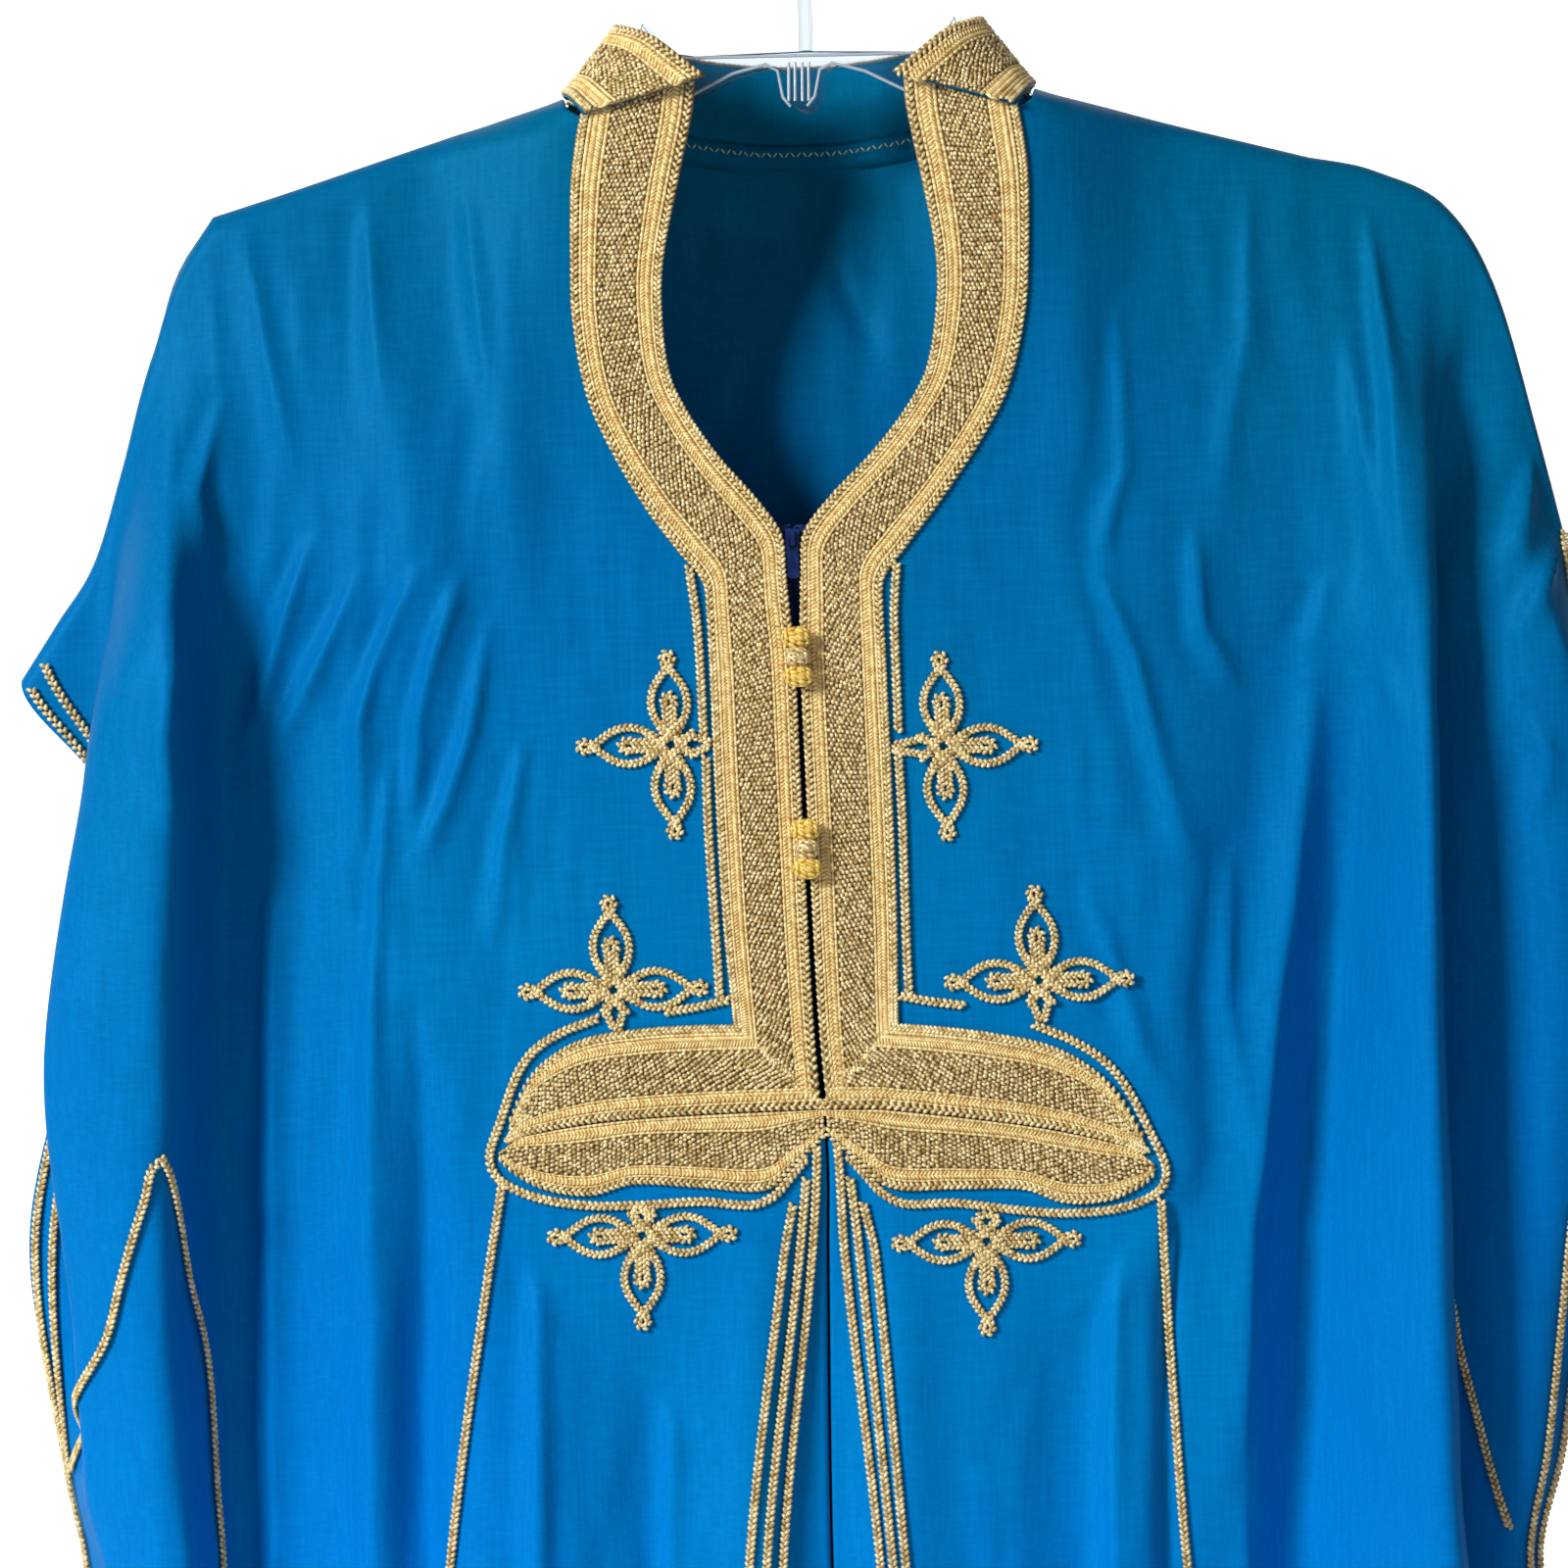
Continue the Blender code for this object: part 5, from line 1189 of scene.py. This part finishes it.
def basket(heap, band, low, high):
    """The woven middle: short metallic stitches, some of them sunk into the ground."""
    for row, along in enumerate(np.arange(0.5, band.length, BASKET_PITCH)):
        across_mm = band.width_at(along) * (high - low)
        count = max(1, round(across_mm / BASKET_COLUMN))
        for c in range(count):
            sunk = random.random() < SUNK_SHARE
            off = 0.5 + 0.25 * (1 if row % 2 else -1) + random.uniform(-0.12, 0.12)
            share = low + (high - low) * (c + off) / count
            point, run, over, normal = band.frame(along + random.uniform(-0.25, 0.25), share)
            lean = run + over * random.uniform(0.1, 0.75)
            rise = SUNK_LIFT if sunk else BASKET_LIFT + random.uniform(-0.1, 0.25)
            length = random.uniform(1.6, 2.3)
            heap.add(point + normal * rise, lean, normal, length, random.uniform(1.25, 1.75), 1.25)


def edge_cord(heap, band, share):
    """A plaited cord along one edge of a band."""
    frames = [band.frame(at, share) for at in np.arange(0.0, band.length, CORD_PITCH)]
    if len(frames) > 2:
        path = np.array([f[0] for f in frames])
        plait(heap, path, [f[3] for f in frames], 2.8, 1.9, CORD_PITCH)


# %% Neck braid, waist bands and collar
braids = []


def dress_band(name, band, layout):
    """The ground, the silk and the metal of one band, as three pieces."""
    # The ground is painted dark: painted shade in the gaps between the stitches
    ground = band_piece(f"{name}_ground", band, 1.0, gap_shade_finish)
    silk, metal = StitchHeap(f"{name}_silk"), StitchHeap(f"{name}_metal")
    for kind, low, high in layout:
        if kind == "chain":
            chain(silk, band, low, high)
        elif kind == "basket":
            basket(metal, band, low, high)
        else:
            edge_cord(metal, band, (low + high) / 2)
    made = [ground, silk.build(silk_finish), metal.build(metal_finish)]
    braids.extend(made)
    return made


# Shares of the width, from the inner or upper edge
WIDE_LAYOUT = (
    ("cord", 0.0, 0.09),
    ("chain", 0.09, 0.28),
    ("basket", 0.29, 0.71),
    ("chain", 0.72, 0.91),
    ("cord", 0.91, 1.0),
)
UPPER_LAYOUT = (
    ("cord", 0.0, 0.09),
    ("chain", 0.09, 0.29),
    ("basket", 0.3, 0.74),
    ("chain", 0.75, 0.91),
    ("cord", 0.91, 1.0),
)
LOWER_LAYOUT = (
    ("chain", 0.0, 0.24),
    ("basket", 0.25, 0.7),
    ("chain", 0.71, 0.89),
    ("cord", 0.89, 1.0),
)
for side, sign in SIDES.items():
    neck = dress_band(f"neck_braid_{side}", front_band(NECK_BRAID, sign), WIDE_LAYOUT)
    upper = dress_band(f"waist_upper_{side}", front_band(WAIST_UPPER, sign, DROOP[side]), UPPER_LAYOUT)
    lower = dress_band(f"waist_lower_{side}", front_band(WAIST_LOWER, sign, DROOP[side]), LOWER_LAYOUT)
    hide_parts(f"neck_braid_{side}")
    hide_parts(f"waist_braid_upper_{side}")
    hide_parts(f"waist_braid_lower_{side}")


COLLAR_GROWTH = (2.8, 0.0)
COLLAR_LIFT = 0.9


def collar_rows(step, low, high, count):
    """Points round the collar, from the right mitre to the left one."""
    half = [(*row.base, *row.top) for row in COLLAR]
    mirrored = [(-a, b, c, -d, e, f) for a, b, c, d, e, f in half[-2::-1]]
    edges = grown(even_path(half + mirrored, step), *COLLAR_GROWTH)
    base, top = edges[:, :3], edges[:, 3:]
    shares = np.linspace(low, high, count)
    return base[:, None] + (top - base)[:, None] * shares[None, :, None]


collar_grid = collar_rows(4.0, 0.0, 1.0, 9)
collar = grid_piece("collar_stand_cloth", collar_grid[:, ::-1], 1.0, cloth_finish)
collar_band = Band(collar_rows(BAND_STEP, 0.02, 1.02, BAND_COLUMNS), upright=True)
for i, at in enumerate(collar_band.at):
    for j in range(BAND_COLUMNS):
        collar_band.rows[i, j] += collar_band.frame(at, j / (BAND_COLUMNS - 1))[3] * COLLAR_LIFT
collar_braid = dress_band("collar_braid", collar_band, WIDE_LAYOUT)


def neck_facing():
    """The strip that covers the seam inside the back of the neck, with its zigzag stitches."""
    edges = collar_grid[:, 0][collar_grid[:, 0, 1] > FACING_FROM]
    inward = edges * (0.985, 0.985, 1.0)
    rows = np.stack([inward + (0.0, 0.0, drop) for drop in FACING_DROPS], axis=1)
    rows[:, -1, 1] += 1.2
    strip = grid_piece("back_neck_facing", rows[:, ::-1], 0.5, cloth_finish)
    heap = StitchHeap("back_neck_stitches")
    path = even_path(inward + (0.0, -0.5, 0.0), 2.2)
    for k, point in enumerate(path):
        way = 1 if k % 2 else -1
        heap.add(point + (0.0, 0.0, -1.6), (1.0, 0.0, 1.2 * way), FACING, 2.6, 0.6, 0.6)
    return [strip, heap.build(silk_finish)]


FACING_FROM = -18.0
FACING_DROPS = (1.5, -1.0, -4.5, -9.0)
facings = neck_facing()
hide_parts("collar_stand")
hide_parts("collar_braid")


# %% [markdown]
# ## Knots and couched cords
# One plaited cord draws every motif: it loops out into three leaves, crosses itself at each
# tip to leave an eyelet, coils a bud inside each leaf, and weaves through itself in the
# middle. The long cords are the same plait, tacked down along the seams and the open edges.

# %% Cord laid on the front
CORD_RUN_ON = 2.5
CORD_LIFT = 0.3
# Below this height the picture doesn't reach, and a cord is a plain round one
PLAIN_FROM_Z, PLAIN_RADIUS = -650.0, 1.5


def laid_path(points, side, droop=0.0, step=2.1, reach=1.2):
    """An even path on the front through (out from the centre, height) points."""
    points = np.array(points, float)
    ends = [points[0] - points[1], points[-1] - points[-2]]
    tips = [end * CORD_RUN_ON / np.linalg.norm(end) for end in ends]
    path = even_path([points[0] + tips[0], *points, points[-1] + tips[1]], step)
    path[:, 1] -= droop * np.maximum(0.0, path[:, 0] - DROOP_START)
    x, z = side * path[:, 0], path[:, 1]
    return np.stack([x, lying_y(x, z, reach, 3, CORD_LIFT), z], axis=1)


def tube(name, path, radius, finish_used):
    """A plain round cord or rim along a path."""
    curve = bpy.data.curves.new(name, "CURVE")
    curve.dimensions = "3D"
    curve.bevel_depth = radius * MM
    curve.bevel_resolution = 1
    curve.use_fill_caps = True
    spline = curve.splines.new("POLY")
    spline.points.add(len(path) - 1)
    for point, place in zip(spline.points, leaned(path)):
        point.co = (*(place * MM), 1.0)
    curve.materials.append(finish_used)
    return linked(name, curve)


cords = {}


def cord_piece(name, path, normals, replaced, seen_to=PLAIN_FROM_Z):
    """A plaited cord: stitches where the picture looks, and a plain run below."""
    seen = int((path[:, 2] > seen_to).sum())
    normals = np.array(normals)
    made = []
    if seen > 1:
        heap = StitchHeap(name)
        plait(heap, path[:seen], normals[:seen])
        made.append(heap.build(metal_finish))
    if seen < len(path):
        low = (path + normals)[max(seen - 1, 0) :: 6]
        made.append(tube(f"{name}_low", low, PLAIN_RADIUS, metal_finish))
    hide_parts(replaced)
    for piece in made:
        cords[piece.name] = piece


for side, sign in SIDES.items():
    for cord in CORDS + SKIRT_CORDS[side]:
        droop = DROOP[side] if cord.name in DROOPING else 0.0
        path = laid_path(cord.points, sign, droop)
        name = f"{cord.name}_{side}"
        cord_piece(f"{name}_plait", path, np.tile(FACING, (len(path), 1)), name)


# %% Motifs
MOTIF_PITCH = 1.9
LEAF = ((1.2, 2.5), (3.6, 6.5), (5.8, 11.0), (6.5, 15.5), (5.5, 20.0), (3.1, 24.0), (0.8, 27.0))
EYELET = ((-0.7, 28.6), (-1.8, 30.4), (-1.3, 32.2), (0.0, 32.9), (1.3, 32.2), (1.8, 30.4), (0.7, 28.6))
BUD = ((1.2, 4.0), (1.4, 9.0), (1.4, 13.2), (1.9, 15.4), (1.3, 17.3), (0.0, 18.0))


def turned(points, degrees):
    c, s = math.cos(math.radians(degrees)), math.sin(math.radians(degrees))
    return [(u * c - v * s, u * s + v * c) for u, v in points]


def motif_paths(root):
    """The cord of one motif as flat paths, each with how high it lies."""
    leaf = list(LEAF) + list(EYELET) + [(-u, v) for u, v in LEAF[::-1]]
    bud = list(BUD) + [(-u, v) for u, v in BUD[-2::-1]]
    paths = []
    for turn in (0, 90, -90):
        paths.append((turned(leaf, turn), 0.0))
        paths.append((turned(bud, turn), 0.15))
    for offset in (-1.9, 1.9):
        paths.append(([(-6.0 + offset, -6.0 - offset), (6.0 + offset, 6.0 - offset)], 0.55))
        paths.append(([(-6.0 + offset, 6.0 + offset), (6.0 + offset, -6.0 + offset)], 1.0))
    for way in (-1, 1):
        lens = [(way * 1.2, -3.0), (way * 3.0, -6.5), (way * 2.4, -9.5), (way * 1.0, -root)]
        paths.append((lens, 0.2))
    return paths


for motif in MOTIFS:
    heap = StitchHeap(f"{motif.name}_plait")
    for points, rise in motif_paths(motif.root):
        flat = even_path(turned(points, -motif.root_turn), MOTIF_PITCH)
        x = motif.side * motif.x - flat[:, 0]
        z = motif.z - flat[:, 1]
        path = np.stack([x, lying_y(x, z, 2.0, 4, CORD_LIFT + rise), z], axis=1)
        plait(heap, path, np.tile(FACING, (len(path), 1)), 2.9, 1.9, MOTIF_PITCH)
    made = heap.build(metal_finish)
    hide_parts(motif.name)
    cords[made.name] = made


# %% Cords on the selvedges and the side seams
SEAM_APEX = (1.96, -466.0)
# One place of the drape counts as this many millimetres along a cord
PLACE_MM = 30.0
PLACE_REACH, DROP_REACH = 0.03, 0.002


def side_path(face, side, stations, step=2.1):
    """An even path and its normals along (drape place, height) stations on a side's cloth."""
    places = even_path([(place * PLACE_MM, z) for place, z in stations], step)
    path, normals = [], []
    for wide, z in places:
        place = wide / PLACE_MM
        top_z = top_at(side, place)[1]
        share = (top_z - z) / (top_z - HEM_Z)
        drops = np.array([share - DROP_REACH, share, share + DROP_REACH])
        near = cloth_grid(face, side, (place - PLACE_REACH, place, place + PLACE_REACH), drops)
        over = near[1, 2] - near[1, 0]
        down = near[2, 1] - near[0, 1]
        normal = np.cross(over, down) * SIDES[side] * (-1 if face == "front" else 1)
        normals.append(normal / np.linalg.norm(normal))
        path.append(near[1, 1])
    path, normals = np.array(path), np.array(normals)
    return path + normals * 0.6, normals


for side in SIDES:
    for face in ("front", "back"):
        for name, place in EDGE_CORDS:
            top_z = top_at(side, place)[1]
            heights = np.concatenate([np.linspace(top_z - 8, -640, 24), np.linspace(-700, HEM_Z + 2, 10)])
            step = 4.2 if face == "back" else 2.1
            path, normals = side_path(face, side, [(place, z) for z in heights], step)
            replaced = f"{name}_{face}_{side}"
            seen_to = PLAIN_FROM_Z if face == "front" else 0.0
            cord_piece(f"{replaced}_plait", path, normals, replaced, seen_to)
    for cord in SEAM_CORDS[side]:
        stations = ([SEAM_APEX] if side == "left" else []) + list(cord.stations)
        path, normals = side_path("front", side, stations)
        cord_piece(f"{cord.name}_{side}_plait", path, normals, f"{cord.name}_{side}")


# %% [markdown]
# ## Zip, closures and hanger
# A navy zip closes the front under the braid, and two sets of silk knobs and a metallic bead
# sit over it. The hanger is clear moulded plastic.

# %% Zip tapes and teeth
# How far the tape and the teeth lie behind the front's cloth
TAPE_BEHIND, TEETH_BEHIND, TOOTH_PITCH = 3.6, 3.0, 1.4
zip_pieces = []
for side, sign in SIDES.items():
    rows = []
    for z in np.linspace(ZIP_TOP_Z + 3.0, WAIST_Z - 8.0, 60):
        y = front_y(sign * 9.0, z, 2.0) + TAPE_BEHIND
        rows.append([(sign * x, y, z) for x in np.linspace(0.9, 13.0, 8)])
    grid = np.array(rows)
    tape = grid_piece(f"zip_tape_{side}_cloth", grid if sign > 0 else grid[:, ::-1], 0.8, navy_finish)
    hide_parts(f"zip_tape_{side}")
    teeth = StitchHeap(f"zip_teeth_{side}")
    for z in np.arange(ZIP_TOP_Z + 2.5, WAIST_Z - 6.0, -TOOTH_PITCH):
        y = front_y(sign * 9.0, z, 2.0) + TEETH_BEHIND
        teeth.add(np.array((sign * 1.1, y, z - 0.35 * sign)), (1, 0, 0), FACING, 1.9, 0.8, 1.2)
    zip_pieces += [tape, teeth.build(navy_finish)]


# %% Closures
knob_finish = make_thread_finish("knob_silk", (0.78, 0.48, 0.08), (1.0, 0.76, 0.2), 0.5, 0.0, 420.0)


# The knobs stand this far before the cloth, over the braid, and are wound a little fuller
KNOB_OFF, KNOB_FULLNESS = 3.2, 1.08


def wound_knob(name, centre, half, replaced, finish_used, turns):
    """A knob wound with thread: slanted stitches over a core."""
    heap = StitchHeap(name)
    core = np.array(half)
    heap.add(centre, (1, 0, 0), FACING, *(core * 1.8))
    count_round, count_along = turns
    for ring in range(count_along):
        lean = math.pi * (ring + 0.5) / count_along
        for k in range(count_round):
            turn = 2 * math.pi * (k + 0.5 * (ring % 2)) / count_round
            wide = math.sin(lean)
            out = np.array((math.cos(lean), wide * math.cos(turn), wide * math.sin(turn)))
            place = centre + out * core * 0.93
            along = np.array((wide * 0.9, -math.cos(lean) + 0.3, 0.5 * math.cos(turn)))
            normal = out / core
            normal /= np.linalg.norm(normal)
            along = along - normal * along.dot(normal)
            heap.add(place, along, normal, 3.8 * wide + 0.9, 1.7, 1.4 * wide + 0.2)
    made = heap.build(finish_used)
    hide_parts(replaced)
    return made


closures = []
for closure, z in CLOSURES:
    for bead in BEADS:
        half = np.array((bead.half_width, bead.half_depth, bead.half_height)) * KNOB_FULLNESS
        y = front_y(0.0, z, 8.0) - KNOB_OFF - bead.half_depth
        centre = np.array((0.0, y, z + bead.rise))
        node = f"closure_{closure}_{bead.name}"
        finish_used = metal_finish if bead.metallic else knob_finish
        closures.append(wound_knob(f"{node}_wound", centre, half, node, finish_used, (8, 6)))


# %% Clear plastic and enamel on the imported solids
def make_clear_finish():
    made, nodes, links, shader = finish("clear_plastic", (0.74, 0.82, 0.88), 0.06)
    shader.inputs["Transmission Weight"].default_value = 1.0
    shader.inputs["IOR"].default_value = 1.49
    haze = streaks(nodes, links, 60.0, (1.0, 1.0, 1.0), 3.0)
    rough = added(nodes, "MapRange", To_Min=0.03, To_Max=0.16)
    links.new(haze.outputs["Fac"], rough.inputs["Value"])
    links.new(rough.outputs["Result"], shader.inputs["Roughness"])
    bumped(nodes, links, shader, haze.outputs["Fac"], 0.15, 0.001)
    return made


clear_finish = make_clear_finish()
ENAMEL_DARK = (0.004, 0.014, 0.08)
ENAMEL_LIGHT = (0.008, 0.034, 0.18)
enamel_finish = make_thread_finish("navy_enamel", ENAMEL_DARK, ENAMEL_LIGHT, 0.25, 0.2, 200.0)
for name in ("hanger_hook", "hanger_body", "zip_slider", "zip_pull"):
    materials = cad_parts[name].data.materials
    materials.clear()
    materials.append(clear_finish if name.startswith("hanger") else enamel_finish)


# %% Rims and ribs of the hanger
HANGER_FACE, RIM_RADIUS = -2.6, 0.65
RIM_TOP = ((60.0, -78.5), (58.0, -68.0), (56.5, -62.5), (52.5, -69.6), (47.0, -74.1), (40.0, -75.1))
RIM_LOW = ((60, -99.6), (38, -88.2), (24, -81.2), (12, -78), (7.6, -80.4), (5.8, -90), (3, -93.5))
RIB_XS = (-3.6, -1.3, 1.3, 3.6)


def rim(name, points):
    return tube(name, np.array([(x, HANGER_FACE, z) for x, z in points]), RIM_RADIUS, rim_finish)


rim_finish = finish("plastic_rim", (0.62, 0.71, 0.79), 0.12)[0]
rim_finish.node_tree.nodes["Principled BSDF"].inputs["Transmission Weight"].default_value = 0.3
rims = []
for side, sign in SIDES.items():
    low = [(sign * x, z) for x, z in RIM_LOW]
    rims.append(rim(f"hanger_low_rim_{side}", low))
mirrored = [(-x, z) for x, z in RIM_TOP]
rims.append(rim("hanger_top_rim", list(RIM_TOP) + mirrored[::-1]))
for k, x in enumerate(RIB_XS):
    rims.append(rim(f"hanger_rib_{k}", [(x, -77.5), (x, -91.5)]))
print(len(rims), "rims and ribs")

# %% [markdown]
# ## Riding
# The pieces made here move with the dress; the pull of the zip is an imported solid.

# %% Attach each piece to the dress
for side in SIDES:
    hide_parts(f"front_panel_{side}")
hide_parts("back_panel")
slots = {
    "blue_cloth": [*panels.values(), back, collar, facings[0]],
    "gold_braid": braids,
    "gold_cord": list(cords.values()),
    "navy_tape": zip_pieces,
    "clear_plastic": rims,
    "yellow_silk": closures + [facings[1]],
}
for slot, pieces in slots.items():
    for piece in pieces:
        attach(piece, "dress")
